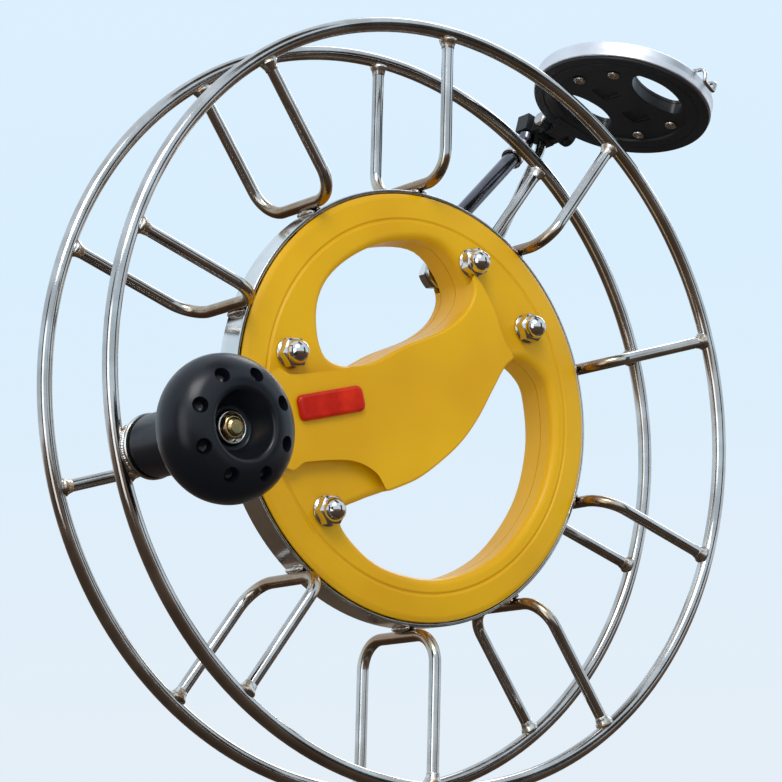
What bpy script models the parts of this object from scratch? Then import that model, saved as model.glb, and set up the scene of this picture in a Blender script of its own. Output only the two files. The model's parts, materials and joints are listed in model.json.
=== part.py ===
"""Hand-held wire-frame line reel with a hinged line guide.

The wheel turns about the world Y axis and its front faces -Y. The origin is the centre of the
hand grip. Lengths below are in millimetres and become metres when a shape is made.

Most shapes are drawn in a local frame, then placed by one of these matrices:
  FRONT  x right, y up, z towards the front, as the reel is seen by the hand that cranks it
  HUB    the same, with z = 0 in the middle of the drum
  SLIDE  the lock slider, x outwards along its travel, z towards the front
  KNOB   the crank knob, z along its axis towards the front
  GUIDE  the line guide, x from the hinge pin to the disc, y along the pin, z up
"""

import math

import bmesh
import bpy
from mathutils import Matrix, Vector

MM = 0.001
GAP = 0.3               # between pieces that touch
RUNNING_GAP = 0.8       # between pieces that turn past each other

# Wheel
RING_RADIUS = 142.0     # centre line of the two rim rings
RING_WIRE = 5.5
RING_SPACING = 43.6     # between the two centre lines
SPOKE_COUNT = 10
SPOKE_WIRE = 4.5
SPOKE_BEND = 11.0       # centre-line radius of the bends of the U
FIRST_SPOKE_DEG = 85.7
DRUM_WIDTH = 11.0
DRUM_WALL = 1.3
HUB_FORWARD = 3.0       # of the drum's middle from the middle of the two rings
PEG_HEIGHT = 0.8
PEG_RADIUS = 1.6

# Grip
GRIP_RADIUS = 80.5
FRONT_DEPTH = 8.0       # from the drum's middle to the flat front face
REAR_DEPTH = 11.0
FRONT_RIM_DROP = 1.8    # how far the edge of the face falls back
REAR_RIM_DROP = 4.5
STEP_RADIUS = GRIP_RADIUS - 9.9     # the groove round the face
DRUM_RADIUS = GRIP_RADIUS + 0.5 + DRUM_WALL
FRONT_BAR_HEIGHT = 4.0
REAR_BAR_HEIGHT = 2.0
BOLT_CIRCLE = STEP_RADIUS - 8.8
BOLT_ANGLES = (166.0, 222.0, 32.3, 65.1)
BOLT_SHAFT = 6.0
BOLT_HOLE = BOLT_SHAFT + 0.5
ACROSS_FLATS = BOLT_SHAFT + 4.0
HEAD_HEIGHT = 4.0
NUT_HEX = 4.6
NUT_DOME = 4.6

# Bearing
RACE_OUTER = GRIP_RADIUS - 4.5
RACE_INNER = RACE_OUTER - 8.2
RACE_WIDTH = 5.0
BALL_COUNT = 16
BALL_RADIUS = 1.5
BALL_CIRCLE = (RACE_INNER + RACE_OUTER) / 2

# Lock
LOCK_SLOTS = 20
LOCK_TRAVEL = 5.0
SLIDER_LENGTH = 29.6
SLIDER_WIDTH = 9.6
SLIDER_POSITION = STEP_RADIUS - 25.0    # of its middle, from the wheel axis
SLIDER_DEG = 183.5
SLIDER_AIM_DEG = 191.5
TONGUE_WIDTH = 3.4
TONGUE_THICKNESS = 1.2
TONGUE_TIP = RACE_OUTER - 0.6       # radius that the tongue reaches when it is open

# Knob
KNOB_CIRCLE = RING_RADIUS - 11.2
KNOB_DEG = -169.3
KNOB_RADIUS = 25.0
SHANK_RADIUS = 11.0
STUD_RADIUS = 2.9
SLEEVE_RADIUS = STUD_RADIUS + 2.6
DIMPLE_COUNT = 8
DIMPLE_CIRCLE = KNOB_RADIUS - 7.6
DIMPLE_RADIUS = 2.8

# Guide
GUIDE_PIN_OUT = 33.2    # of the hinge pin from the rings' centre lines
GUIDE_PIN_DEG = 49.1
GUIDE_PIN_REAR = 17.1   # behind the rear ring
GUIDE_LEAN_DEG = 20.6   # of the disc's axis towards +X
GUIDE_TIP_DEG = 3.1     # of the disc's axis towards +Y
GUIDE_REACH = 43.0      # from the hinge pin to the disc's axis
GUIDE_RADIUS = 36.5
GUIDE_THICKNESS = 8.0
GUIDE_BORE = GUIDE_RADIUS - 3.8
GUIDE_RECESS = GUIDE_RADIUS - 10.1  # radius of the recess in the lower face
GUIDE_SCREW_CIRCLE = GUIDE_RECESS - 3.8
GUIDE_SCREW_ANGLES = (72.0, 118.0, -93.0, -52.0)
PIN_RADIUS = 2.0
ARM_A_RADIUS = 3.3
ARM_B_RADIUS = 2.2
ARM_A_FOOT = (10.6, 66.0)   # distance and direction of an arm's foot from its bolt
ARM_B_FOOT = (16.5, 91.0)
ARM_RISE = 18.0         # distance over which an arm climbs clear of the wheel
PLATE_THICKNESS = 2.0
PLATE_EDGE = 6.0        # from a bolt's centre to the edge of the plate
PLATE_FOOT = 5.0        # the same, round the foot of an arm

PLATE_OUT = 1.015       # the plate's corners lie this much further out than the bolts

RING_Y = RING_SPACING / 2
TONGUE_LOW = RACE_WIDTH / 2 + 0.6
TONGUE_HIGH = TONGUE_LOW + TONGUE_THICKNESS
SLOT_RING = TONGUE_HIGH + 0.2
RIM_LOW = SLOT_RING + 0.9
BAR_TOP = FRONT_DEPTH + FRONT_BAR_HEIGHT
SPOKE_FOOT = DRUM_RADIUS + PEG_HEIGHT + GAP + SPOKE_WIRE / 2


# Scene

for old in list(bpy.data.objects):
    bpy.data.objects.remove(old, do_unlink=True)

parts = bpy.data.collections.new("line_reel")
helpers = bpy.data.collections.new("cutters")
bpy.context.scene.collection.children.link(parts)
bpy.context.scene.collection.children.link(helpers)
helpers.hide_render = True


def material(name, colour, metallic, roughness):
    made = bpy.data.materials.new(name)
    made.use_nodes = True
    shader = made.node_tree.nodes["Principled BSDF"]
    shader.inputs["Base Color"].default_value = (*colour, 1.0)
    shader.inputs["Metallic"].default_value = metallic
    shader.inputs["Roughness"].default_value = roughness
    made.diffuse_color = (*colour, 1.0)
    return made


YELLOW = ("yellow_plastic", (0.84, 0.55, 0.0), 0.0, 0.38)
RED = ("red_plastic", (0.62, 0.03, 0.0), 0.0, 0.35)
BLACK = ("black_plastic", (0.012, 0.014, 0.02), 0.0, 0.36)
STAINLESS = ("polished_stainless", (0.62, 0.61, 0.60), 1.0, 0.12)
CHROME = ("bright_chrome", (0.75, 0.75, 0.76), 1.0, 0.06)
BEARING = ("bearing_steel", (0.45, 0.45, 0.46), 1.0, 0.2)
ZINC = ("yellow_zinc", (0.65, 0.48, 0.2), 1.0, 0.3)
SATIN = ("satin_aluminium", (0.6, 0.59, 0.6), 1.0, 0.35)
DARK_TUBE = ("dark_tube", (0.06, 0.065, 0.08), 0.6, 0.3)


# Local frames

def columns(x, y, z, origin):
    made = Matrix.Identity(4)
    for i, axis in enumerate((x, y, z)):
        for row in range(3):
            made[row][i] = axis[row]
    for row in range(3):
        made[row][3] = origin[row] * MM
    return made


def polar(radius, degrees, z=0.0):
    turn = math.radians(degrees)
    return Vector((radius * math.cos(turn), radius * math.sin(turn), z))


FRONT = columns((1, 0, 0), (0, 0, 1), (0, -1, 0), (0, 0, 0))

HUB = FRONT @ Matrix.Translation((0, 0, HUB_FORWARD * MM))

slide_x = polar(1, SLIDER_AIM_DEG)
slide_y = Vector((0, 0, 1)).cross(slide_x)
SLIDE = HUB @ columns(slide_x, slide_y, (0, 0, 1), polar(SLIDER_POSITION, SLIDER_DEG))

KNOB = FRONT @ Matrix.Translation(polar(KNOB_CIRCLE, KNOB_DEG) * MM)

lean = math.radians(GUIDE_LEAN_DEG)
tip = math.radians(GUIDE_TIP_DEG)
guide_z = Vector((math.sin(lean) * math.cos(tip), math.sin(tip), math.cos(lean) * math.cos(tip)))
guide_y = guide_z.cross(Vector((0, -1, 0))).normalized()
guide_x = guide_y.cross(guide_z)
guide_pin = polar(RING_RADIUS + GUIDE_PIN_OUT, GUIDE_PIN_DEG)
guide_pin = (guide_pin.x, RING_SPACING / 2 + GUIDE_PIN_REAR, guide_pin.y)
GUIDE = columns(guide_x, guide_y, guide_z, guide_pin)
DISC = GUIDE @ Matrix.Translation((GUIDE_REACH * MM, 0, 0))


# Shapes

def finish(obj, look, frame=None, smooth=35):
    """Puts an object in the model with its own material."""
    obj.matrix_world = frame if frame is not None else HUB
    if look is None:
        helpers.objects.link(obj)
        obj.hide_render = True
        obj.display_type = "WIRE"
        return obj
    parts.objects.link(obj)
    obj.data.materials.append(material(obj.name + "_" + look[0], *look[1:]))
    if smooth and obj.type == "MESH":
        obj.data.shade_smooth()
        obj.data.set_sharp_from_angle(angle=math.radians(smooth))
    return obj


def lathe(name, profile, look, frame=None, steps=64):
    """Turns a closed outline of (radius, z) points about the local z axis."""
    mesh = bpy.data.meshes.new(name)
    following = profile[1:] + profile[:1]
    area = sum(a[0] * b[1] - b[0] * a[1] for a, b in zip(profile, following))
    runs_down = profile if area < 0 else profile[::-1]
    points = [(radius * MM, 0.0, z * MM) for radius, z in runs_down]
    edges = [(i, (i + 1) % len(points)) for i in range(len(points))]
    mesh.from_pydata(points, edges, [])
    obj = bpy.data.objects.new(name, mesh)
    turn = obj.modifiers.new("turn", "SCREW")
    turn.axis = "Z"
    turn.steps = steps
    turn.render_steps = steps
    turn.use_merge_vertices = True
    turn.merge_threshold = 0.00001
    turn.use_smooth_shade = True
    return finish(obj, look, frame)


def solid_lathe(name, profile, look, frame=None, steps=32):
    """Turns a (radius, z) outline whose two ends lie on the local z axis."""
    made = bmesh.new()
    rings = []
    for radius, z in profile:
        if radius < 1e-6:
            rings.append([made.verts.new((0, 0, z * MM))])
            continue
        ring = [made.verts.new(polar(radius, 360 * i / steps, z) * MM) for i in range(steps)]
        rings.append(ring)
    for low, high in zip(rings, rings[1:]):
        for i in range(steps):
            j = (i + 1) % steps
            corners = [low[i % len(low)], low[j % len(low)], high[j % len(high)], high[i % len(high)]]
            made.faces.new(list(dict.fromkeys(corners)))
    return from_bmesh(name, made, look, frame)


def from_bmesh(name, made, look, frame=None, smooth=35):
    bmesh.ops.recalc_face_normals(made, faces=made.faces)
    mesh = bpy.data.meshes.new(name)
    made.to_mesh(mesh)
    made.free()
    return finish(bpy.data.objects.new(name, mesh), look, frame, smooth)


def loft(name, sections, look, frame=None, smooth=35):
    """Joins loops of equally many points, one above the other, and caps both ends."""
    made = bmesh.new()
    loops = [[made.verts.new(Vector(point) * MM) for point in section] for section in sections]
    for low, high in zip(loops, loops[1:]):
        for i in range(len(low)):
            j = (i + 1) % len(low)
            made.faces.new((low[i], low[j], high[j], high[i]))
    made.faces.new(loops[0])
    made.faces.new(loops[-1])
    return from_bmesh(name, made, look, frame, smooth)


def prism(name, sides, radius, low, high, look, centre=(0, 0), frame=None, turn=0.0):
    """A cylinder of few or many sides along the local z axis."""
    middle = Vector((centre[0], centre[1], 0))
    sections = []
    for z in (low, high):
        sections.append([middle + polar(radius, turn + 360 * i / sides, z) for i in range(sides)])
    return loft(name, sections, look, frame)


def box(name, low, high, look, frame=None):
    sections = []
    for z in (low[2], high[2]):
        sections.append([(low[0], low[1], z), (high[0], low[1], z), (high[0], high[1], z), (low[0], high[1], z)])
    return loft(name, sections, look, frame, smooth=0)


def wire(name, points, radius, look, frame=None, closed=False, roundness=2):
    """A round wire along a list of points, made a mesh with closed ends."""
    curve = bpy.data.curves.new(name, "CURVE")
    curve.dimensions = "3D"
    curve.bevel_depth = radius * MM
    curve.bevel_resolution = roundness
    curve.use_fill_caps = not closed
    line = curve.splines.new("POLY")
    line.points.add(len(points) - 1)
    for spot, point in zip(line.points, points):
        spot.co = (*(Vector(point) * MM), 1.0)
    line.use_cyclic_u = closed
    source = bpy.data.objects.new(name + "_line", curve)
    mesh = bpy.data.meshes.new_from_object(source)
    bpy.data.objects.remove(source, do_unlink=True)
    bpy.data.curves.remove(curve)
    made = bmesh.new()
    made.from_mesh(mesh)
    bpy.data.meshes.remove(mesh)
    bmesh.ops.remove_doubles(made, verts=made.verts, dist=1e-6)
    return from_bmesh(name, made, look, frame, smooth=50)


def cut(obj, *others):
    for other in others:
        change = obj.modifiers.new("cut " + other.name, "BOOLEAN")
        change.operation = "DIFFERENCE"
        change.solver = "EXACT"
        change.object = other


def add(obj, *others):
    for other in others:
        change = obj.modifiers.new("add " + other.name, "BOOLEAN")
        change.operation = "UNION"
        change.solver = "EXACT"
        change.object = other


def arc(centre, radius, start, end, count, at):
    """Points of an arc in the plane that at(u, v) maps to three numbers."""
    points = []
    for i in range(count + 1):
        turn = math.radians(start + (end - start) * i / count)
        points.append(at(centre[0] + radius * math.cos(turn), centre[1] + radius * math.sin(turn)))
    return points


def smooth_outline(knots, per_span=3):
    """A closed Catmull-Rom curve through the knots."""
    count = len(knots)
    points = []
    for i in range(count):
        before, start, end, after = (knots[(i + k) % count] for k in (-1, 0, 1, 2))
        for j in range(per_span):
            t = j / per_span
            points.append(
                0.5 * (2 * start + (end - before) * t
                       + (2 * before - 5 * start + 4 * end - after) * t * t
                       + (3 * start - before - 3 * end + after) * t ** 3)
            )
    return points


def grown(outline, by, z):
    """The outline moved outwards by a distance, at a height."""
    count = len(outline)
    points = []
    for i in range(count):
        along = (outline[(i + 1) % count] - outline[i - 1]).normalized()
        points.append((outline[i].x + along.y * by, outline[i].y - along.x * by, z))
    return points


# Grip openings and bar, counter-clockwise in the front view

def finger_opening():
    """The opening above the bar, for the fingers."""
    outer = STEP_RADIUS - 8.6
    return smooth_outline([
        polar(outer + 1.4, 79), polar(outer + 0.6, 99), polar(outer - 0.8, 118), polar(outer - 2.2, 134),
        polar(outer - 7.0, 147), polar(outer - 16.5, 160), polar(outer - 31.0, 155), polar(outer - 38.5, 115),
        polar(outer - 31.5, 72), polar(outer - 18.5, 61), polar(outer - 7.5, 64),
    ], 2)


def thumb_opening():
    """The crescent below the bar."""
    outer = STEP_RADIUS - 6.1
    return smooth_outline([
        polar(outer - 0.6, 8), polar(outer - 3.0, 16), polar(outer - 9.5, 23), polar(outer - 20.5, 24.5),
        polar(outer - 31.0, 14.5), polar(outer - 39.9, -8), polar(outer - 44.0, -40), polar(outer - 42.7, -75),
        polar(outer - 36.0, -101), polar(outer - 27.9, -117.5), polar(outer - 18.5, -128),
        polar(outer - 8.5, -133), polar(outer - 3.5, -126), polar(outer - 0.7, -108),
        polar(outer, -84), polar(outer, -58), polar(outer, -32), polar(outer, -10),
    ], 2)


def opening_cutter(name, outline, flare=3.0):
    """Cuts an opening with rounded edges on both faces."""
    sections = [grown(outline, flare * 1.5, -REAR_DEPTH - REAR_BAR_HEIGHT - 2)]
    for share in (1.0, 0.35, 0.0):
        sections.append(grown(outline, flare * share, -REAR_DEPTH + flare * (1 - share)))
    for share in (0.0, 0.35, 1.0):
        sections.append(grown(outline, flare * share, FRONT_DEPTH - flare * (1 - share)))
    sections.append(grown(outline, flare * 1.5, BAR_TOP + 2))
    return loft(name, sections, None)


def bar_outline():
    """The raised bar across the grip. Beside an opening it overlaps it, and is cut back to it."""
    left = STEP_RADIUS - 1.5
    return smooth_outline([
        polar(left, 176.5), polar(left - 9, 176), polar(left - 38.0, 160), polar(left - 41.0, 123),
        polar(left - 38.0, 96), polar(left - 31.0, 75), polar(left - 15.5, 66.5), polar(left - 20.0, 52),
        polar(left - 25.0, 38), polar(left - 25.0, 23), polar(left - 28.0, 5), polar(left - 40.0, -32),
        polar(left - 38.5, -87), polar(left - 31.0, -113), polar(left - 34.5, -134), polar(left - 27.0, -151),
        polar(left - 8.0, -159), polar(left, -160),
    ], 2)


def bar_body(name, side, depth, height):
    """The bar, with rounded edges. side is 1 at the front and -1 at the rear."""
    outline = bar_outline()
    steps = ((0.0, -2.0), (-0.4, height * 0.4), (-1.2, height * 0.82), (-2.6, height))
    return loft(name, [grown(outline, by, side * (depth + z)) for by, z in steps], None)


finger_cutter = opening_cutter("finger_opening_cutter", finger_opening())
thumb_cutter = opening_cutter("thumb_opening_cutter", thumb_opening())

# The bar follows the openings, so its own cutters have straight walls.
bar_finger_cutter = loft("bar_finger_cutter", [grown(finger_opening(), 0.0, z) for z in (-30, 30)], None)
bar_thumb_cutter = loft("bar_thumb_cutter", [grown(thumb_opening(), 0.0, z) for z in (-30, 30)], None)


bolt_holes = bmesh.new()
for angle in BOLT_ANGLES:
    place = Matrix.Translation(polar(BOLT_CIRCLE, angle) * MM)
    bmesh.ops.create_cone(bolt_holes, cap_ends=True, segments=16, radius1=BOLT_HOLE / 2 * MM,
                          radius2=BOLT_HOLE / 2 * MM, depth=REAR_DEPTH * 4 * MM, matrix=place)
bolt_hole_cutter = from_bmesh("bolt_hole_cutter", bolt_holes, None)


def grip_shell(name, side, face, rim_drop, bar_height):
    """One half of the grip. It clamps the inner race and covers the bearing."""
    race = RACE_WIDTH / 2
    profile = [
        (0.0, face), (STEP_RADIUS - 1.1, face), (STEP_RADIUS - 0.6, face - 0.6), (STEP_RADIUS, face - 0.6),
        (STEP_RADIUS + 0.5, face - 0.1), (GRIP_RADIUS - 1.8, face - rim_drop * 0.5),
        (GRIP_RADIUS - 0.4, face - rim_drop * 0.75), (GRIP_RADIUS, face - rim_drop),
        (GRIP_RADIUS, RIM_LOW), (GRIP_RADIUS - 0.4, RIM_LOW - 0.4),
        (RACE_OUTER - 0.4, RIM_LOW), (RACE_OUTER - 0.4, race + RUNNING_GAP),
        (RACE_INNER + 2.8, race + RUNNING_GAP), (RACE_INNER + 2.8, race + GAP),
        (RACE_INNER - GAP, race + GAP), (RACE_INNER - GAP, GAP / 2), (0.0, GAP / 2),
    ]
    shell = solid_lathe(name, [(radius, side * z) for radius, z in profile], YELLOW, steps=44)
    bar = bar_body(name + "_bar", side, face, bar_height)
    cut(bar, bar_finger_cutter, bar_thumb_cutter)
    cut(shell, bolt_hole_cutter, finger_cutter, thumb_cutter)
    add(shell, bar)
    return shell


front_shell = grip_shell("front_grip_shell", 1, FRONT_DEPTH, FRONT_RIM_DROP, FRONT_BAR_HEIGHT)
rear_shell = grip_shell("rear_grip_shell", -1, REAR_DEPTH, REAR_RIM_DROP, REAR_BAR_HEIGHT)


# Lock slider. Its tongue slides out over the races into the slots of the drum.

slider_at = polar(SLIDER_POSITION, SLIDER_DEG)
across = slider_at.dot(slide_y)
tongue_end = math.sqrt(TONGUE_TIP ** 2 - across ** 2) - slider_at.dot(slide_x)
stem_half = SLIDER_LENGTH / 2 - 6.0
stem_wide = 2.6

slider = box("lock_slider", (-stem_half, -stem_wide, TONGUE_LOW), (stem_half, stem_wide, BAR_TOP + 0.9), RED, SLIDE)
button = loft("slider_button", [
    [(x * (SLIDER_LENGTH / 2 - inset), y * (SLIDER_WIDTH / 2 - inset), z)
     for x, y in ((-1, -0.75), (-0.92, -1), (0.92, -1), (1, -0.75), (1, 0.75), (0.92, 1), (-0.92, 1), (-1, 0.75))]
    for inset, z in ((0.0, BAR_TOP + GAP), (0.0, BAR_TOP + 1.5), (0.8, BAR_TOP + 2.2))
], None, SLIDE)
tongue = box("slider_tongue", (stem_half - 2, -TONGUE_WIDTH / 2, TONGUE_LOW),
             (tongue_end, TONGUE_WIDTH / 2, TONGUE_HIGH), None, SLIDE)
add(slider, button, tongue)

stem_slot = box("stem_slot", (-stem_half - GAP, -stem_wide - GAP, TONGUE_LOW - 0.8),
                (stem_half + LOCK_TRAVEL + GAP, stem_wide + GAP, BAR_TOP + 8), None, SLIDE)
tongue_slot = box("tongue_slot", (stem_half - 2, -TONGUE_WIDTH / 2 - GAP, TONGUE_LOW - 0.8),
                  (tongue_end + LOCK_TRAVEL + 12, TONGUE_WIDTH / 2 + GAP, TONGUE_HIGH + GAP), None, SLIDE)
cut(front_shell, stem_slot, tongue_slot)


# Bearing

half_race = RACE_WIDTH / 2
groove = BALL_RADIUS + GAP
lathe("bearing_inner_race", [
    (RACE_INNER, -half_race), (BALL_CIRCLE - 0.9, -half_race), (BALL_CIRCLE - 0.9, -1.55),
    (BALL_CIRCLE - groove, -0.5), (BALL_CIRCLE - groove, 0.5), (BALL_CIRCLE - 0.9, 1.55), (BALL_CIRCLE - 0.9, half_race), (RACE_INNER, half_race),
], BEARING, steps=48)
lathe("bearing_outer_race", [
    (BALL_CIRCLE + 0.9, -half_race), (RACE_OUTER, -half_race), (RACE_OUTER, half_race),
    (BALL_CIRCLE + 0.9, half_race), (BALL_CIRCLE + 0.9, 1.55), (BALL_CIRCLE + groove, 0.5),
    (BALL_CIRCLE + groove, -0.5), (BALL_CIRCLE + 0.9, -1.55),
], BEARING, steps=48)
cage = lathe("ball_cage", [
    (BALL_CIRCLE - 0.5, -2.2), (BALL_CIRCLE + 0.5, -2.2), (BALL_CIRCLE + 0.5, 2.2), (BALL_CIRCLE - 0.5, 2.2),
], BEARING, steps=40)
balls = bmesh.new()
for i in range(BALL_COUNT):
    spot = Matrix.Translation(polar(BALL_CIRCLE, 360 * (i + 0.5) / BALL_COUNT) * MM)
    bmesh.ops.create_uvsphere(balls, u_segments=6, v_segments=4, radius=BALL_RADIUS * MM, matrix=spot)
add(cage, from_bmesh("cage_balls", balls, None))


# Drum, with the ring of lock slots inside and the weld pegs outside

drum_inner = DRUM_RADIUS - DRUM_WALL
web_inner = RACE_OUTER + GAP
web_half = half_race + 0.4
drum = lathe("drum_band", [
    (web_inner, -web_half), (drum_inner, -web_half), (drum_inner, -DRUM_WIDTH / 2), (DRUM_RADIUS, -DRUM_WIDTH / 2),
    (DRUM_RADIUS, DRUM_WIDTH / 2), (drum_inner, DRUM_WIDTH / 2), (drum_inner, SLOT_RING),
    (web_inner + 0.7, SLOT_RING), (web_inner + 0.7, web_half), (web_inner, web_half),
], STAINLESS, steps=48)
tip_angle = math.degrees(math.atan2(*(slider_at + slide_x * tongue_end).yx))
slots = bmesh.new()
for i in range(LOCK_SLOTS):
    turn = Matrix.Rotation(math.radians(tip_angle + 360 * i / LOCK_SLOTS), 4, "Z")
    middle = Vector(((web_inner + drum_inner - 0.4) / 2, 0, (web_half + 0.2 + SLOT_RING + 1) / 2)) * MM
    size = Vector((drum_inner - web_inner + 0.2, TONGUE_WIDTH + 1.6, SLOT_RING + 0.8 - web_half)) * MM
    shape = turn @ Matrix.Translation(middle) @ Matrix.Diagonal((*size, 1.0))
    bmesh.ops.create_cube(slots, size=1.0, matrix=shape)
cut(drum, from_bmesh("lock_slot_cutter", slots, None, smooth=0))

flat_half = RING_Y - SPOKE_BEND
peg_z = DRUM_WIDTH / 2 - PEG_RADIUS - 0.6
pegs = bmesh.new()
for i in range(SPOKE_COUNT):
    for z in (-peg_z, peg_z):
        turn = Matrix.Rotation(math.radians(FIRST_SPOKE_DEG + 360 * i / SPOKE_COUNT), 4, "Z")
        middle = (DRUM_RADIUS + (PEG_HEIGHT - DRUM_WALL * 0.6) / 2) * MM
        upright = Matrix.Rotation(math.radians(90), 4, "Y")
        shape = turn @ Matrix.Translation((middle, 0, z * MM)) @ upright
        bmesh.ops.create_cone(pegs, cap_ends=True, segments=6, radius1=PEG_RADIUS * MM, radius2=PEG_RADIUS * MM,
                              depth=(PEG_HEIGHT + DRUM_WALL * 0.6) * MM, matrix=shape)
add(drum, from_bmesh("weld_pegs", pegs, None))


# Rim rings and U-shaped spokes

for name, z in (("front_rim_ring", RING_Y), ("rear_rim_ring", -RING_Y)):
    circle = [polar(RING_RADIUS, 360 * i / 64, z) for i in range(64)]
    wire(name, circle, RING_WIRE / 2, STAINLESS, FRONT, closed=True)

leg_end = RING_RADIUS - RING_WIRE / 2 - GAP
bend_centre = (SPOKE_FOOT + SPOKE_BEND, flat_half)
for i in range(SPOKE_COUNT):
    angle = FIRST_SPOKE_DEG + 360 * i / SPOKE_COUNT

    def in_spoke_plane(radius, z, angle=angle):
        return polar(radius, angle, z)

    path = [in_spoke_plane(leg_end, RING_Y)]
    path += arc(bend_centre, SPOKE_BEND, 90, 180, 5, in_spoke_plane)
    path += arc((bend_centre[0], -flat_half), SPOKE_BEND, 180, 270, 5, in_spoke_plane)
    path += [in_spoke_plane(leg_end, -RING_Y)]
    wire(f"spoke_{i + 1:02d}", path, SPOKE_WIRE / 2, STAINLESS, FRONT, roundness=1)


# Grip bolts from the rear, cap nuts at the front. Two of the bolts also hold the guide's plate.

nut_bore = BOLT_SHAFT / 2 + GAP
corner = ACROSS_FLATS / 2 / math.cos(math.radians(30))
for i, angle in enumerate(BOLT_ANGLES):
    spot = polar(BOLT_CIRCLE, angle)
    holds_plate = i >= 2
    seat = -REAR_DEPTH - GAP - (PLATE_THICKNESS + GAP if holds_plate else 0.0)
    nut_seat = FRONT_DEPTH + GAP
    bolt = prism(f"grip_bolt_{i + 1}", 16, BOLT_SHAFT / 2, seat - 1, nut_seat + NUT_HEX + 1.0, CHROME, spot.xy)
    head = prism(f"bolt_head_{i + 1}", 6, corner, seat - HEAD_HEIGHT, seat, None, spot.xy, turn=angle)
    add(bolt, head)
    nut = prism(f"cap_nut_{i + 1}", 6, corner, nut_seat, nut_seat + NUT_HEX, CHROME, spot.xy, turn=angle + 20)
    dome_radius = ACROSS_FLATS / 2 - 0.5
    outline = [(0.0, NUT_HEX - 1.5), (dome_radius, NUT_HEX - 1.5)]
    for step in range(6):
        rise = math.radians(18 * step)
        outline.append((dome_radius * math.cos(rise), NUT_HEX + NUT_DOME * math.sin(rise)))
    outline[-1] = (0.0, NUT_HEX + NUT_DOME)
    place = HUB @ Matrix.Translation(Vector((spot.x, spot.y, nut_seat)) * MM)
    add(nut, solid_lathe(f"nut_dome_{i + 1}", outline, None, place, 16))
    bore = prism(f"nut_bore_{i + 1}", 16, nut_bore, nut_seat - 2, nut_seat + NUT_HEX + 1.6, None, spot.xy)
    cut(nut, bore)


# Crank knob

base_low = RING_Y + RING_WIRE / 2 + GAP
base_high = base_low + 2.0
shank_low = base_high + RUNNING_GAP
sleeve_seat = shank_low + 35.0
recess = sleeve_seat + 10.5
face = recess + 9.0

base = prism("knob_base_plate", 32, SHANK_RADIUS + 0.4, base_low, base_high, STAINLESS, frame=KNOB)
prism("knob_stud", 16, STUD_RADIUS, base_high + GAP, recess + 3.6, ZINC, frame=KNOB)

bore = STUD_RADIUS + 0.5
pocket = SLEEVE_RADIUS + GAP
knob = lathe("knob_handle", [
    (bore, shank_low), (SHANK_RADIUS - 1.6, shank_low), (SHANK_RADIUS - 0.3, shank_low + 0.7),
    (SHANK_RADIUS, shank_low + 2.2), (SHANK_RADIUS, face - 25.0), (SHANK_RADIUS + 0.8, face - 23.6),
    (KNOB_RADIUS - 8.0, face - 22.4), (KNOB_RADIUS - 3.4, face - 20.2), (KNOB_RADIUS - 0.9, face - 16.5),
    (KNOB_RADIUS, face - 12.2), (KNOB_RADIUS - 0.5, face - 8.4), (KNOB_RADIUS - 2.4, face - 4.6),
    (KNOB_RADIUS - 5.6, face - 1.8), (KNOB_RADIUS - 9.6, face - 0.3), (KNOB_RADIUS - 12.4, face),
    (KNOB_RADIUS - 13.6, face - 0.6), (KNOB_RADIUS - 15.2, face - 4.5), (KNOB_RADIUS - 17.6, recess),
    (pocket, recess), (pocket, sleeve_seat - 1.0), (bore, sleeve_seat - 1.0),
], BLACK, KNOB, 30)
dimples = bmesh.new()
for i in range(DIMPLE_COUNT):
    spot = polar(DIMPLE_CIRCLE, 27 + 360 * i / DIMPLE_COUNT, face - 1.6)
    lean_out = Matrix.Rotation(math.radians(27 + 360 * i / DIMPLE_COUNT), 4, "Z")
    lean_out = lean_out @ Matrix.Rotation(math.radians(20), 4, "Y")
    bmesh.ops.create_cone(dimples, cap_ends=True, segments=8, radius1=(DIMPLE_RADIUS - 0.5) * MM,
                          radius2=(DIMPLE_RADIUS + 0.3) * MM, depth=6.4 * MM,
                          matrix=Matrix.Translation(spot * MM) @ lean_out)
cut(knob, from_bmesh("dimple_cutter", dimples, None, KNOB))

lathe("knob_sleeve", [
    (bore, sleeve_seat), (SLEEVE_RADIUS, sleeve_seat), (SLEEVE_RADIUS, recess + 1.2),
    (SLEEVE_RADIUS - 0.6, recess + 1.2), (SLEEVE_RADIUS - 0.6, recess - 2.6), (bore, recess - 2.6),
], CHROME, KNOB, 24)
knob_nut = prism("knob_nut", 6, STUD_RADIUS + 1.5, recess - 2.3, recess + 2.4, ZINC, frame=KNOB, turn=12)
cut(knob_nut, prism("knob_nut_bore", 16, STUD_RADIUS + GAP, recess - 6, recess + 6, None, frame=KNOB))


# Guide plate and arms

plate_low = -REAR_DEPTH - GAP - PLATE_THICKNESS
plate_high = -REAR_DEPTH - GAP
first = polar(BOLT_CIRCLE, BOLT_ANGLES[2])
second = polar(BOLT_CIRCLE, BOLT_ANGLES[3])
foot_a = second + polar(*ARM_A_FOOT)
foot_b = first + polar(*ARM_B_FOOT)


def plate_section(z):
    """A rounded outline round the two bolts and the feet of the two arms."""
    corners = [(first * PLATE_OUT, PLATE_EDGE), (foot_b, PLATE_FOOT), (foot_a, PLATE_FOOT),
               (second * PLATE_OUT, PLATE_EDGE)]
    points = []
    for k, (middle, radius) in enumerate(corners):
        into = middle - corners[k - 1][0]
        out = corners[(k + 1) % 4][0] - middle
        start = math.atan2(into.y, into.x) - math.pi / 2
        turn = (math.atan2(out.y, out.x) - math.atan2(into.y, into.x)) % math.tau
        for step in range(5):
            points.append(middle + polar(radius, math.degrees(start + turn * step / 4), z))
    return points


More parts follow.
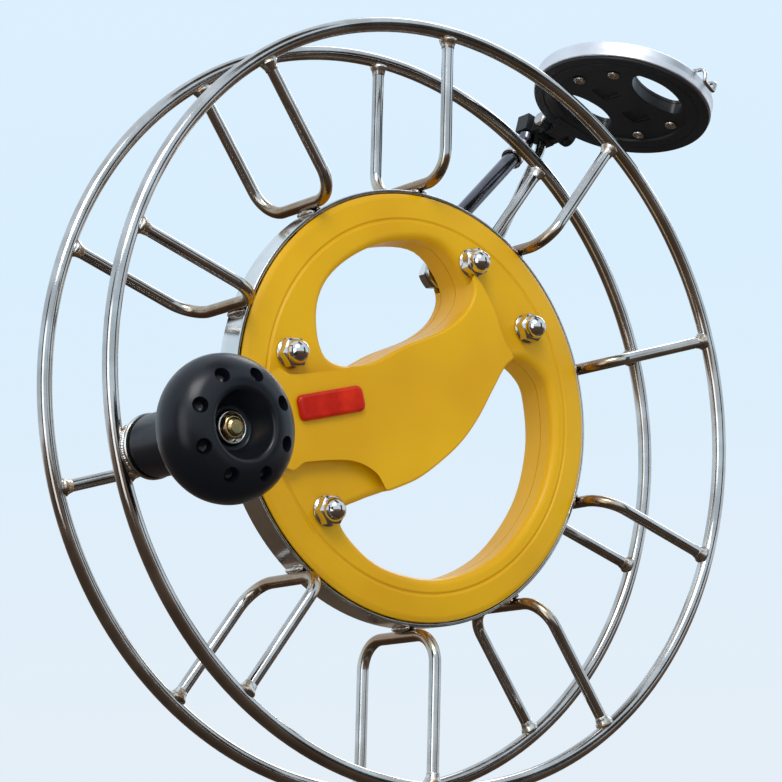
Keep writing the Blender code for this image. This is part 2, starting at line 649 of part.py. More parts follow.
plate = loft("guide_mount_plate", [plate_section(plate_low), plate_section(plate_high)], STAINLESS)
for i in (2, 3):
    cut(plate, prism(f"plate_hole_{i}", 16, BOLT_HOLE / 2, plate_low - 5, plate_high + 5, None,
                     polar(BOLT_CIRCLE, BOLT_ANGLES[i]).xy))


def guide_point(x, y, z):
    """A point of the guide's frame, in the hub's frame."""
    return (HUB.inverted() @ GUIDE @ (Vector((x, y, z)) * MM)) / MM


def rounded(path, radius, steps=4):
    """The path with its inner corners rounded."""
    points = [path[0]]
    for before, corner_point, after in zip(path, path[1:], path[2:]):
        back = (before - corner_point)
        ahead = (after - corner_point)
        reach = min(radius, back.length * 0.45, ahead.length * 0.45)
        start = corner_point + back.normalized() * reach
        end = corner_point + ahead.normalized() * reach
        for i in range(steps + 1):
            t = i / steps
            points.append(start * (1 - t) ** 2 + corner_point * 2 * t * (1 - t) + end * t * t)
    points.append(path[-1])
    return points


bracket_foot = -4.0
bracket_middle = -8.2
side_a = -6.0
side_b = 2.0


def arm_path(foot, radius, side):
    """From the plate, out behind the rear ring and up to the foot of the bracket."""
    top = guide_point(bracket_middle, side, bracket_foot - GAP)
    neck = guide_point(bracket_middle, side, bracket_foot - 5.0)
    along = (neck.xy - foot.xy).normalized()
    clear = -(RING_Y + RING_WIRE / 2 + RUNNING_GAP + radius) - HUB_FORWARD
    start = Vector((foot.x, foot.y, plate_low - GAP - radius))
    knee = Vector((*(foot.xy + along * ARM_RISE), clear))
    return [start, knee, neck, top]


path_a = arm_path(foot_a, ARM_A_RADIUS, side_a)
path_b = arm_path(foot_b, ARM_B_RADIUS, side_b)
wire("guide_arm_a", rounded(path_a, 9.0), ARM_A_RADIUS, DARK_TUBE)
wire("guide_arm_b", rounded(path_b, 9.0), ARM_B_RADIUS, STAINLESS)

collar_z = (path_a[2] - path_a[1]).normalized()
collar_x = collar_z.orthogonal().normalized()
COLLAR = HUB @ columns(collar_x, collar_z.cross(collar_x), collar_z, path_a[2])
lathe("clamp_sleeve", [
    (ARM_A_RADIUS + GAP, -14.0), (ARM_A_RADIUS + 1.3, -14.0), (ARM_A_RADIUS + 1.3, -3.6), (ARM_A_RADIUS + GAP, -3.6),
], CHROME, COLLAR, 24)


# Guide bracket, hinge pin and thumb screw

fork = 3.2
ear_out = 6.4
bracket = box("guide_bracket", (-12.0, side_a - 3.8, bracket_foot), (-5.2, ear_out, 3.4), BLACK, GUIDE)
for side in (-1, 1):
    ear = loft(f"bracket_ear_{side}", [
        [(-7.0, y, -3.6), (0.5, y, -3.6), (2.8, y, -2.8), (3.8, y, 0.0), (2.8, y, 2.8), (0.5, y, 3.2), (-7.0, y, 3.2)]
        for y in sorted((side * (fork + GAP), side * ear_out))
    ], None, GUIDE)
    add(bracket, ear)
PIN = GUIDE @ Matrix.Rotation(math.radians(-90), 4, "X")
cut(bracket, prism("bracket_pin_hole", 16, PIN_RADIUS + GAP, -30, 30, None, frame=PIN))

pin = prism("hinge_pin", 16, PIN_RADIUS, -ear_out - 1, ear_out + 4.4, STAINLESS, frame=PIN)
add(pin, prism("pin_head", 16, 3.2, -ear_out - 2.2, -ear_out - GAP, None, frame=PIN))
nut_low = ear_out + GAP
lathe("thumb_nut", [
    (PIN_RADIUS + GAP, nut_low), (3.8, nut_low), (4.4, nut_low + 0.7), (4.4, nut_low + 3.0), (3.8, nut_low + 3.6),
    (PIN_RADIUS + GAP, nut_low + 3.6),
], BLACK, PIN, 20)


# Guide disc: a core with an ear on the hinge pin, a cover, a bearing ring and the free-running rim

low = -GUIDE_THICKNESS / 2
top = GUIDE_THICKNESS / 2
flange_high = low + 0.9
cover_low = top - 1.7
core_top = cover_low - GAP
barrel = GUIDE_BORE - 3.3
recess_top = low + 1.2
disc_steps = 40

core = solid_lathe("guide_core", [
    (0.0, recess_top), (GUIDE_RECESS - 0.4, recess_top), (GUIDE_RECESS, recess_top - 0.4), (GUIDE_RECESS + 0.5, low),
    (GUIDE_RADIUS - 5.4, low), (GUIDE_RADIUS - 5.1, low + 0.4), (GUIDE_RADIUS - 4.5, low + 0.4),
    (GUIDE_RADIUS - 4.2, low), (GUIDE_RADIUS - 0.9, low), (GUIDE_RADIUS - 0.3, low + 0.6),
    (GUIDE_RADIUS - 0.3, flange_high), (barrel, flange_high), (barrel, core_top), (0.0, core_top),
], BLACK, DISC, disc_steps)
ear_x = -GUIDE_REACH
ear = loft("core_ear", [
    [(ear_x - 2.8, y, -2.8), (ear_x - 3.9, y, 0.0), (ear_x - 2.8, y, 2.8), (ear_x, y, 3.8), (ear_x + 3.2, y, 2.8),
     (ear_x + 5.6, y, flange_high - 0.1), (ear_x + 12.0, y, flange_high - 0.1), (ear_x + 12.0, y, low - 0.7),
     (ear_x + 1.0, y, low - 0.7)]
    for y in (-fork, fork)
], None, DISC)
web = loft("core_web", [
    [(ear_x + 5.0, -fork + 0.2, z), (ear_x + 14.0, -9.0, z), (ear_x + 14.0, 9.0, z), (ear_x + 5.0, fork - 0.2, z)]
    for z in (low - 0.5, low + 0.2)
], None, DISC)
add(core, ear, web)
cut(core, prism("core_pin_hole", 16, PIN_RADIUS + GAP, -30, 30, None, frame=PIN))

outer = GUIDE_RECESS - 1.4


def guide_opening(angle):
    """One of the two openings of the disc, beside its bar."""
    return smooth_outline([
        polar(outer, angle - 30), polar(outer, angle - 10), polar(outer, angle + 12), polar(outer, angle + 34),
        polar(outer - 3.5, angle + 44), polar(outer - 9.0, angle + 40), polar(outer - 14.0, angle + 16),
        polar(outer - 13.5, angle - 16), polar(outer - 9.0, angle - 34), polar(outer - 3.0, angle - 37),
    ], 2)


cover = solid_lathe("guide_cover", [
    (0.0, cover_low), (GUIDE_BORE - 0.5, cover_low), (GUIDE_BORE - 0.5, top - 0.5), (GUIDE_BORE - 1.0, top), (0.0, top),
], BLACK, DISC, disc_steps)
for angle in (6.0, 186.0):
    hole = loft(f"guide_opening_{angle:.0f}", [grown(guide_opening(angle), 0.0, z) for z in (-12, 14)], None, DISC)
    cut(core, hole)
    cut(cover, hole)
pocket_turn = math.radians(6)
for i, y in enumerate((-9.5, 9.5)):
    pocket_frame = DISC @ Matrix.Rotation(pocket_turn, 4, "Z")
    cut(core, box(f"core_pocket_{i}", (-4.5, y - 4.5, low - 2), (4.5, y + 4.5, recess_top + 1.4), None,
                  pocket_frame))
for i, angle in enumerate(GUIDE_SCREW_ANGLES):
    spot = polar(GUIDE_SCREW_CIRCLE, angle)
    hole = prism(f"guide_screw_hole_{i + 1}", 12, 1.8, -20, 20, None, spot.xy, DISC)
    cut(core, hole)
    cut(cover, hole)
    screw = prism(f"guide_screw_{i + 1}", 12, 1.4, low + 0.4, top, CHROME, spot.xy, DISC)
    head_top = recess_top - GAP
    add(screw, prism(f"guide_screw_head_{i + 1}", 12, 2.5, low, head_top, None, spot.xy, DISC))

rim_low = flange_high + 0.3
lathe("guide_bearing_ring", [
    (barrel + GAP, rim_low), (GUIDE_BORE - GAP, rim_low), (GUIDE_BORE - GAP, core_top), (barrel + GAP, core_top),
], BEARING, DISC, disc_steps)
lathe("guide_rim", [
    (GUIDE_BORE, rim_low), (GUIDE_RADIUS - 0.4, rim_low), (GUIDE_RADIUS, rim_low + 0.4), (GUIDE_RADIUS, top - 0.5),
    (GUIDE_RADIUS - 0.5, top), (GUIDE_BORE, top),
], SATIN, DISC, disc_steps)


# Wire that keeps the line against the rim

wire_top = top + GAP + 0.8
loop = GUIDE_RADIUS + 3.2
keeper = [
    polar(GUIDE_BORE - 5, 8, wire_top), polar(loop - 1, 10, wire_top), polar(loop, 11, wire_top - 1.2),
    polar(loop, 12, 0.0), polar(loop, 23, 0.0), polar(loop, 24, wire_top - 1.2), polar(loop - 1, 25, wire_top),
    polar(GUIDE_BORE - 5, 27, wire_top),
]
wire("line_keeper", keeper, 0.8, STAINLESS, DISC, roundness=1)
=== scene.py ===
# %% [markdown]
# # A hand-held line reel
# A wheel of polished wire turns on a large bearing round a yellow hand grip. A crank knob stands on
# its front ring, a red slider locks it, and a small black disc on two arms guides the line. The CAD
# model gives every piece its place and its motion. This script gives each piece its finished shape
# and surface, and the helpers that follow are all built from plain Blender meshes and modifiers.

import json
import math

import bmesh
import bpy
from mathutils import Matrix, Vector, noise

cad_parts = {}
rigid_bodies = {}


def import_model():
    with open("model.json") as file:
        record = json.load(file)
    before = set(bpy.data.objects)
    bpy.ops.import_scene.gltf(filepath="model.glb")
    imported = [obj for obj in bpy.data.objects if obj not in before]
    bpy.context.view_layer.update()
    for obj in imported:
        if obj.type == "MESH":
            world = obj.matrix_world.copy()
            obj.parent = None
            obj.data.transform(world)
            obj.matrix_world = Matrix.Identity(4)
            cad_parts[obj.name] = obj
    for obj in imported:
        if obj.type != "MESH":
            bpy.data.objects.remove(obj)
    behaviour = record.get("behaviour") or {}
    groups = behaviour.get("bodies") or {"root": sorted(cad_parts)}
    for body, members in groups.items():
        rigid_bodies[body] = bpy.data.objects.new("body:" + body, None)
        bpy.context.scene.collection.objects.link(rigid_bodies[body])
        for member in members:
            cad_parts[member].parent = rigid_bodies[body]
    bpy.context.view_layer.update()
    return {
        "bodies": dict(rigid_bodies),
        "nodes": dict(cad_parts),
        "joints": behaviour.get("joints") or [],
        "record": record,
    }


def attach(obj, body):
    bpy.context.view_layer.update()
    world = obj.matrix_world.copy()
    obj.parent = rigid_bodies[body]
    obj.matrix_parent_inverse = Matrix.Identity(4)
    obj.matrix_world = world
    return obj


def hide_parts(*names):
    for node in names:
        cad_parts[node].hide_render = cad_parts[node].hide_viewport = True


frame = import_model()
body_of = {}
for body, members in frame["record"]["behaviour"]["bodies"].items():
    for member in members:
        body_of[member] = body

# %% [markdown]
# ## Sizes
# Lengths are in millimetres and become metres when a mesh is made. The driving sizes are the CAD
# model's own, so a finished piece fits where its CAD node was. What follows from another size is
# worked out from it.

# %% Driving sizes
MM = 0.001
GAP = 0.3               # between CAD pieces that touch

RING_RADIUS = 142.0
RING_WIRE = 5.5
RING_SPACING = 43.6
SPOKE_COUNT = 10
SPOKE_WIRE = 4.5
SPOKE_BEND = 11.0
FIRST_SPOKE_DEG = 85.7
DRUM_RADIUS = 82.3
DRUM_WIDTH = 11.0
DRUM_WALL = 1.3
PEG_HEIGHT = 0.8
HUB_FORWARD = 3.0

GRIP_RADIUS = 80.5
FRONT_DEPTH = 8.0
REAR_DEPTH = 11.0
FRONT_RIM_DROP = 1.8
REAR_RIM_DROP = 4.5
STEP_RADIUS = 70.6
FRONT_BAR_HEIGHT = 4.0
REAR_BAR_HEIGHT = 2.0
BOLT_CIRCLE = 61.8
BOLT_ANGLES = (166.0, 222.0, 32.3, 65.1)
BOLT_SHAFT = 6.0
BOLT_HOLE = 6.5
ACROSS_FLATS = 10.0
HEAD_HEIGHT = 4.0
NUT_HEX = 4.6
NUT_DOME = 4.6

RACE_INNER = 67.8
RACE_OUTER = 76.0
RACE_WIDTH = 5.0
TONGUE_WIDTH = 3.4
TONGUE_THICKNESS = 1.2
TONGUE_TIP = 75.4
SLIDER_LENGTH = 29.6
SLIDER_WIDTH = 9.6
SLIDER_POSITION = 45.6
SLIDER_DEG = 183.5
SLIDER_AIM_DEG = 191.5
LOCK_TRAVEL = 5.0
LOCK_SLOTS = 20
BALL_COUNT = 16
BALL_RADIUS = 1.5

KNOB_CIRCLE = 130.8
KNOB_DEG = -169.3
KNOB_RADIUS = 25.0
SHANK_RADIUS = 11.0
STUD_RADIUS = 2.9
SLEEVE_RADIUS = 5.5
DIMPLE_COUNT = 8
DIMPLE_CIRCLE = 17.4
DIMPLE_RADIUS = 2.8

GUIDE_PIN_OUT = 33.2
GUIDE_PIN_DEG = 49.1
GUIDE_PIN_REAR = 17.1
GUIDE_LEAN_DEG = 20.6
GUIDE_TIP_DEG = 3.1
GUIDE_REACH = 43.0
GUIDE_RADIUS = 36.5
GUIDE_THICKNESS = 8.0
GUIDE_BORE = 32.7
GUIDE_RECESS = 26.4
GUIDE_SCREW_CIRCLE = 22.6
GUIDE_SCREW_ANGLES = (72.0, 118.0, -93.0, -52.0)
PIN_RADIUS = 2.0
ARM_A_RADIUS = 3.3
ARM_B_RADIUS = 2.2
PLATE_THICKNESS = 2.0
KNURL_POINTS = 60       # a tooth and a valley by turns
FLOOR_RADIUS = 18000.0
FLOOR_TOP = -165.0

RING_Y = RING_SPACING / 2
TONGUE_LOW = RACE_WIDTH / 2 + 0.6
TONGUE_HIGH = TONGUE_LOW + TONGUE_THICKNESS
SLOT_RING = TONGUE_HIGH + 0.2
RIM_LOW = SLOT_RING + 0.9
BAR_TOP = FRONT_DEPTH + FRONT_BAR_HEIGHT
print("wheel across its rings:", 2 * RING_RADIUS + RING_WIRE, "mm")

# %% [markdown]
# ## Local frames
# Most shapes are easier to draw flat or upright and then place. A matrix with three axes and an
# origin does that: FRONT looks at the reel from the crank's side, HUB is the same at the middle of
# the drum, and the slider, knob and guide each have one of their own.

# %% Frames of the pieces


def columns(x, y, z, origin):
    made = Matrix.Identity(4)
    for i, axis in enumerate((x, y, z)):
        for row in range(3):
            made[row][i] = axis[row]
    for row in range(3):
        made[row][3] = origin[row] * MM
    return made


def polar(radius, degrees, z=0.0):
    turn = math.radians(degrees)
    return Vector((radius * math.cos(turn), radius * math.sin(turn), z))


def moved(x=0.0, y=0.0, z=0.0):
    return Matrix.Translation((x * MM, y * MM, z * MM))


def turned(degrees, axis="Z"):
    return Matrix.Rotation(math.radians(degrees), 4, axis)


FRONT = columns((1, 0, 0), (0, 0, 1), (0, -1, 0), (0, 0, 0))
HUB = FRONT @ moved(z=HUB_FORWARD)
slide_x = polar(1, SLIDER_AIM_DEG)
slide_y = Vector((0, 0, 1)).cross(slide_x)
SLIDE = HUB @ columns(slide_x, slide_y, (0, 0, 1), polar(SLIDER_POSITION, SLIDER_DEG))
KNOB = FRONT @ moved(*polar(KNOB_CIRCLE, KNOB_DEG))
lean = math.radians(GUIDE_LEAN_DEG)
tip = math.radians(GUIDE_TIP_DEG)
guide_z = Vector((math.sin(lean) * math.cos(tip), math.sin(tip), math.cos(lean) * math.cos(tip)))
guide_y = guide_z.cross(Vector((0, -1, 0))).normalized()
guide_x = guide_y.cross(guide_z)
pin_at = polar(RING_RADIUS + GUIDE_PIN_OUT, GUIDE_PIN_DEG)
GUIDE = columns(guide_x, guide_y, guide_z, (pin_at.x, RING_Y + GUIDE_PIN_REAR, pin_at.y))
DISC = GUIDE @ moved(x=GUIDE_REACH)
PIN = GUIDE @ turned(-90, "X")
print("the guide's disc leans", round(math.degrees(guide_z.angle(Vector((0, 0, 1)))), 1), "degrees")

# %% [markdown]
# ## Shader arithmetic
# A surface is described best as a sum: base roughness, plus a little noise, plus more where it is
# worn. This class wraps one output socket, so that such a sum is written as plain arithmetic and
# each operation adds its own Math node.

# %% A socket that does arithmetic


class Value:
    """One output socket in a material's node tree."""

    def __init__(self, tree, socket=None):
        self.tree = tree
        self.socket = socket

    def node(self, kind, settings=None, sockets=None, output=0):
        """Adds a node: first its settings, then the values or links of its sockets."""
        made = self.tree.nodes.new(kind)
        for name, setting in (settings or {}).items():
            if name == "stops":
                ramp = made.color_ramp
                while len(ramp.elements) < len(setting):
                    ramp.elements.new(1.0)
                for element, (place, colour) in zip(ramp.elements, setting):
                    element.position = place
                    element.color = (*colour, 1.0)
            else:
                setattr(made, name, setting)
        for name, value in (sockets or {}).items():
            self.join(made.inputs[name], value)
        return Value(self.tree, made.outputs[output])

    def join(self, socket, value):
        if isinstance(value, Value):
            self.tree.links.new(value.socket, socket)
        else:
            socket.default_value = value

    def maths(self, operation, *values):
        return self.node("ShaderNodeMath", {"operation": operation}, dict(enumerate(values)))

    def __add__(self, other):
        return self.maths("ADD", self, other)

    __radd__ = __add__

    def __sub__(self, other):
        return self.maths("SUBTRACT", self, other)

    def __rsub__(self, other):
        return self.maths("SUBTRACT", other, self)

    def __mul__(self, other):
        return self.maths("MULTIPLY", self, other)

    __rmul__ = __mul__

    def step(self, low, high):
        """0 below low, 1 above high, and smooth between them."""
        settings = {"interpolation_type": "SMOOTHSTEP"}
        sockets = {"Value": self, "From Min": low, "From Max": high}
        return self.node("ShaderNodeMapRange", settings, sockets)

    def mix(self, none, full):
        """The first colour where this is 0 and the second where it is 1."""
        sockets = {0: self, 6: none, 7: full}
        return self.node("ShaderNodeMix", {"data_type": "RGBA"}, sockets, output=2)


def rgb(red, green, blue):
    return (red, green, blue, 1.0)


print("a Value knows + - * step and mix")

# %% [markdown]
# ## Finishes
# Every finish reads where a point is on the piece, and noise of any size there: slow for blotches,
# fast for grain. The Principled shader then gets a colour, a roughness and a small bump, and
# uniform numbers such as the coat are set straight on its sockets.

# %% The start of every finish


class Finish:
    """A new material, its shader, and readings of position and noise that feed it."""

    def __init__(self, name, metallic=0.0, coat=0.0, coat_roughness=0.1, specular=0.5):
        self.material = bpy.data.materials.new(name)
        self.material.use_nodes = True
        self.tree = self.material.node_tree
        self.shader = self.tree.nodes["Principled BSDF"]
        self.start = Value(self.tree)
        self.place = self.start.node("ShaderNodeTexCoord", output=3)
        self.shader.inputs["Metallic"].default_value = metallic
        self.shader.inputs["Coat Weight"].default_value = coat
        self.shader.inputs["Coat Roughness"].default_value = coat_roughness
        self.shader.inputs["Specular IOR Level"].default_value = specular

    def noise(self, size_mm, detail=3.0, roughness=0.55, stretch=None):
        """Noise from 0 to 1 with features of about this size."""
        place = self.place
        if stretch is not None:
            place = self.start.node(
                "ShaderNodeVectorMath", {"operation": "MULTIPLY"}, {0: place, 1: stretch}
            )
        sockets = {"Vector": place, "Scale": 1000.0 / size_mm}
        sockets |= {"Detail": detail, "Roughness": roughness}
        return self.start.node("ShaderNodeTexNoise", None, sockets)

    def across(self):
        """Distance from the local z axis, in metres."""
        flat = self.start.node(
            "ShaderNodeVectorMath", {"operation": "MULTIPLY"}, {0: self.place, 1: (1, 1, 0)}
        )
        return self.start.node("ShaderNodeVectorMath", {"operation": "LENGTH"}, {0: flat}, output=1)

    def bump(self, height, depth_mm, strength=0.5):
        sockets = {"Strength": strength, "Distance": depth_mm * MM, "Height": height}
        self.put("Normal", self.start.node("ShaderNodeBump", None, sockets))

    def put(self, socket, value):
        self.start.join(self.shader.inputs[socket], value)


print("a Finish reads its place, its distance from the axis, and noise of any size")

# %% [markdown]
# ## Moulded plastic
# The grip, the slider and the knob are injection moulded. Such a skin has a faint orange-peel
# texture, colour that drifts a little as the melt flows, and a polish that is dulled by handling.
# Four scales of noise give these, each so weak that it is only seen in a highlight.

# %% Plastics


def moulded(name, pale, deep, roughness, coat, flow_mm=60, peel_mm=0.02):
    made = Finish(name, coat=coat, coat_roughness=0.22, specular=0.24)
    flow = made.noise(flow_mm, detail=2.0).step(0.3, 0.7)
    grain = made.noise(0.5, detail=2.0)
    wear = made.noise(9, detail=4.0).step(0.45, 0.75)
    made.put("Base Color", flow.mix(rgb(*deep), rgb(*pale)))
    made.put("Roughness", roughness + 0.07 * wear + 0.04 * grain)
    made.bump(made.noise(1.3, detail=3.0), peel_mm, 0.35)
    return made.material


yellow = moulded("yellow_plastic", (0.70, 0.365, 0.0), (0.62, 0.30, 0.0), 0.34, 0.06)
red = moulded("red_plastic", (0.62, 0.018, 0.0), (0.42, 0.006, 0.0), 0.26, 0.12, flow_mm=9)
black = moulded("black_plastic", (0.006, 0.007, 0.011), (0.004, 0.005, 0.008), 0.30, 0.20)
guide_pale, guide_deep = (0.016, 0.016, 0.017), (0.009, 0.009, 0.010)
black_matt = moulded("black_guide_plastic", guide_pale, guide_deep, 0.32, 0.10)
print("plastics:", yellow.name, red.name, black.name, black_matt.name)

# %% [markdown]
# ## Polished stainless wire
# Drawn wire is polished after it is bent. Its mirror is broken by fine lines along the wire and by
# soft patches. Near a weld, heat leaves straw and brown tints, which fade over some millimetres.
# The tint follows the distance from the wheel's axis, because the feet of the spokes lie on one
# circle. The other metals use the same steps with other colours.

# %% Metals


def steel(name, pale, deep, roughness, heat_at=None, line_mm=0.35):
    made = Finish(name, metallic=1.0)
    patch = made.noise(14, detail=4.0).step(0.35, 0.7)
    lines = made.noise(line_mm, detail=2.0, stretch=(1.0, 1.0, 0.15))
    colour = patch.mix(rgb(*deep), rgb(*pale))
    dulled = 0.05 * patch + 0.05 * lines
    if heat_at is not None:
        near, far = heat_at
        ragged = made.across() + 0.006 * made.noise(5, detail=4.0)
        heat = 1.0 - ragged.step(near * MM, far * MM)
        stops = [
            (0.0, (0.66, 0.65, 0.63)), (0.45, (0.62, 0.50, 0.30)), (1.0, (0.30, 0.17, 0.08)),
        ]
        tint = heat.node("ShaderNodeValToRGB", {"stops": stops}, {"Fac": heat})
        colour = (heat * 0.85).mix(colour, tint)
        dulled = dulled + 0.12 * heat
    made.put("Base Color", colour)
    made.put("Roughness", roughness + dulled)
    made.bump(made.noise(line_mm, detail=2.0), 0.004, 0.25)
    return made.material


wire_pale, wire_deep = (0.62, 0.61, 0.60), (0.46, 0.44, 0.42)
wire_steel = steel("polished_wire", wire_pale, wire_deep, 0.08)
spoke_steel = steel("polished_spoke_wire", wire_pale, wire_deep, 0.08, heat_at=(88.0, 101.0))
band_steel = steel("polished_band", (0.82, 0.82, 0.81), (0.70, 0.70, 0.69), 0.13)
plate_steel = steel("plain_stainless", (0.60, 0.59, 0.57), (0.46, 0.45, 0.43), 0.20)
chrome = steel("bright_plating", (0.80, 0.79, 0.78), (0.68, 0.67, 0.65), 0.05)
bearing_steel = steel("bearing_steel", (0.52, 0.52, 0.53), (0.40, 0.40, 0.41), 0.14)
dark_steel = steel("dark_tube", (0.20, 0.20, 0.22), (0.12, 0.12, 0.14), 0.16)


def yellow_zinc():
    """Passivated zinc, with the greenish and reddish clouds that the bath leaves."""
    made = Finish("yellow_zinc", metallic=1.0)
    cloud = made.noise(2.5, detail=3.0)
    stops = [(0.30, (0.42, 0.44, 0.22)), (0.5, (0.72, 0.52, 0.24)), (0.70, (0.60, 0.34, 0.20))]
    made.put("Base Color", cloud.node("ShaderNodeValToRGB", {"stops": stops}, {"Fac": cloud}))
    made.put("Roughness", 0.20 + 0.14 * cloud)
    made.bump(made.noise(0.6), 0.01, 0.3)
    return made.material


def turned_aluminium():
    """Lathe marks are rings about the piece's own axis, so they come from the distance to it."""
    made = Finish("turned_aluminium", metallic=1.0)
    height = made.start.node("ShaderNodeSeparateXYZ", None, {"Vector": made.place}, output=2)
    ring_place = made.start.node("ShaderNodeCombineXYZ", None, {"X": made.across(), "Z": height})
    rings = made.start.node(
        "ShaderNodeTexNoise", None, {"Vector": ring_place, "Scale": 5000.0, "Detail": 2.0}
    )
    patch = made.noise(18, detail=3.0).step(0.3, 0.7)
    made.put("Base Color", patch.mix(rgb(0.74, 0.73, 0.76), rgb(0.84, 0.83, 0.86)))
    made.put("Roughness", 0.30 + 0.12 * rings + 0.05 * patch)
    made.bump(rings, 0.012, 0.4)
    return made.material


def weld_metal():
    """A bead is bright on its ripples and brown round its foot."""
    made = Finish("weld_metal", metallic=1.0)
    ripple = made.noise(0.9, detail=3.0)
    burn = made.noise(2.2, detail=4.0).step(0.42, 0.68)
    made.put("Base Color", burn.mix(rgb(0.72, 0.70, 0.66), rgb(0.34, 0.22, 0.12)))
    made.put("Roughness", 0.16 + 0.25 * burn + 0.08 * ripple)
    made.bump(ripple, 0.12, 0.6)
    return made.material


zinc = yellow_zinc()
satin = turned_aluminium()
weld = weld_metal()
print("metals:", len(bpy.data.materials), "materials so far, the CAD's own included")

# %% [markdown]
# ## Making meshes
# Almost everything here is turned, bent or lofted, so a few small builders are enough: a lathe for
# round things, a pipe for wire, and a loft for what is drawn as one outline above another. A prism
# and a box are lofts too.

# %% Builders
shown = bpy.data.collections.new("finished_pieces")
bpy.context.scene.collection.children.link(shown)


def to_object(name, made, frame):
    """A mesh drawn in millimetres becomes an object at its frame."""
    bmesh.ops.recalc_face_normals(made, faces=made.faces)
    mesh = bpy.data.meshes.new(name)
    made.to_mesh(mesh)
    made.free()
    mesh.transform(Matrix.Scale(MM, 4))
    obj = bpy.data.objects.new(name, mesh)
    shown.objects.link(obj)
    obj.matrix_world = frame
    return obj


def bridge(made, loops, closed):
    """Walls between loops of vertices, one after the other. A loop of one vertex is a pole."""
    pairs = list(zip(loops, loops[1:]))
    if closed:
        pairs.append((loops[-1], loops[0]))
    for low, high in pairs:
        count = max(len(low), len(high))
        for i in range(count):
            j = (i + 1) % count
            corners = [low[k % len(low)] for k in (i, j)] + [high[k % len(high)] for k in (j, i)]
            made.faces.new(list(dict.fromkeys(corners)))


def lathe(name, profile, frame, steps=96, made=None, place=None):
    """Turns (radius, z) points about z. The outline is closed, or its ends lie on the axis."""
    whole = made is None
    made = bmesh.new() if whole else made
    place = place if place is not None else Matrix.Identity(4)
    loops = []
    for radius, z in profile:
        count = 1 if radius < 1e-6 else steps
        points = [place @ polar(radius, 360 * i / count, z) for i in range(count)]
        loops.append([made.verts.new(point) for point in points])
    bridge(made, loops, len(loops[0]) > 1)
    return to_object(name, made, frame) if whole else None


def loft(name, sections, frame):
    made = bmesh.new()
    loops = [[made.verts.new(Vector(point)) for point in section] for section in sections]
    bridge(made, loops, False)
    made.faces.new(loops[0])
    made.faces.new(loops[-1])
    return to_object(name, made, frame)


def pipe(name, path, radius, frame, sides=20, closed=False, ease=0.5):
    """A round wire along a path. An open one has slightly rounded ends."""
    made = bmesh.new()
    loops = []
    count = len(path)
    side = None
    for i, point in enumerate(path):
        ahead = path[(i + 1) % count] if closed or i < count - 1 else point
        behind = path[i - 1] if closed or i > 0 else point
        along = (ahead - behind).normalized()
        side = along.orthogonal() if side is None else side - along * side.dot(along)
        side.normalize()
        up = along.cross(side)
        rings = [(0.0, radius)]
        if not closed and i == 0:
            rings = [(0.0, radius - ease), (ease, radius)]
        if not closed and i == count - 1:
            rings = [(-ease, radius), (0.0, radius - ease)]
        for shift, size in rings:
            turns = [math.tau * k / sides for k in range(sides)]
            middle = point + along * shift
            points = [middle + (side * math.cos(t) + up * math.sin(t)) * size for t in turns]
            loops.append([made.verts.new(point) for point in points])
    bridge(made, loops, closed)
    if not closed:
        made.faces.new(loops[0])
        made.faces.new(loops[-1])
    return to_object(name, made, frame)


def ball(made, matrix, radius, around, up):
    bmesh.ops.create_uvsphere(made, u_segments=around, v_segments=up, radius=radius, matrix=matrix)


def prism(name, sides, radius, low, high, frame, turn=0.0, ease=0.0):
    """A bar of few or many sides along z, with its two ends eased."""
    steps = [(radius, low + ease), (radius, high - ease)]
    if ease:
        steps = [(radius - ease, low), *steps, (radius - ease, high)]
    sections = [[polar(r, turn + 360 * i / sides, z) for i in range(sides)] for r, z in steps]
    return loft(name, sections, frame)


def box(name, low, high, frame):
    corners = ((0, 0), (1, 0), (1, 1), (0, 1))
    ends = (low, high)
    sections = [[(ends[i][0], ends[j][1], z) for i, j in corners] for z in (low[2], high[2])]
    return loft(name, sections, frame)


print("builders: lathe, loft, pipe, prism, box")

# %% [markdown]
# ## Cuts, joins and soft edges
# Holes are drilled and lugs are joined with Booleans. Each one is fixed into the mesh at once, and
# its cutter is removed, so the result is the same in every view. Edges could be modelled one by
# one, but a bevel by angle gives all of a piece the same small radius, as tumbling does.

# %% Changing a mesh


def baked(obj):
    """Fixes what the modifiers made into the mesh."""
    graph = bpy.context.evaluated_depsgraph_get()
    mesh = bpy.data.meshes.new_from_object(obj.evaluated_get(graph))
    obj.modifiers.clear()
    obj.data = mesh
    return obj


def combined(obj, operation, others):
    for other in others:
        change = obj.modifiers.new(operation, "BOOLEAN")
        change.operation = operation
        change.solver = "EXACT"
        change.object = other
    baked(obj)
    for other in others:
        bpy.data.objects.remove(other, do_unlink=True)
    return obj


def cut(obj, *others):
    return combined(obj, "DIFFERENCE", others)


def add(obj, *others):
    return combined(obj, "UNION", others)


def softened(obj, width, angle=35, segments=3):
    """Rounds the edges that are sharper than an angle."""
    change = obj.modifiers.new("soft edges", "BEVEL")
    change.width = width * MM
    change.segments = segments
    change.limit_method = "ANGLE"
    change.angle_limit = math.radians(angle)
    return baked(obj)


def piece(obj, surface, node=None, body=None, smooth=35):
    """Gives a finished piece its surface, and its place on the body and for the node it shows."""
    obj.data.materials.clear()
    obj.data.materials.append(surface)
    obj.data.shade_smooth()
    obj.data.set_sharp_from_angle(angle=math.radians(smooth))
    change = obj.modifiers.new("even shading", "WEIGHTED_NORMAL")
    change.keep_sharp = True
    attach(obj, body or body_of[node])
    if node:
        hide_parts(node)
    print(f"{obj.name}: {len(obj.data.polygons)} faces on {body or body_of[node]}")
    return obj


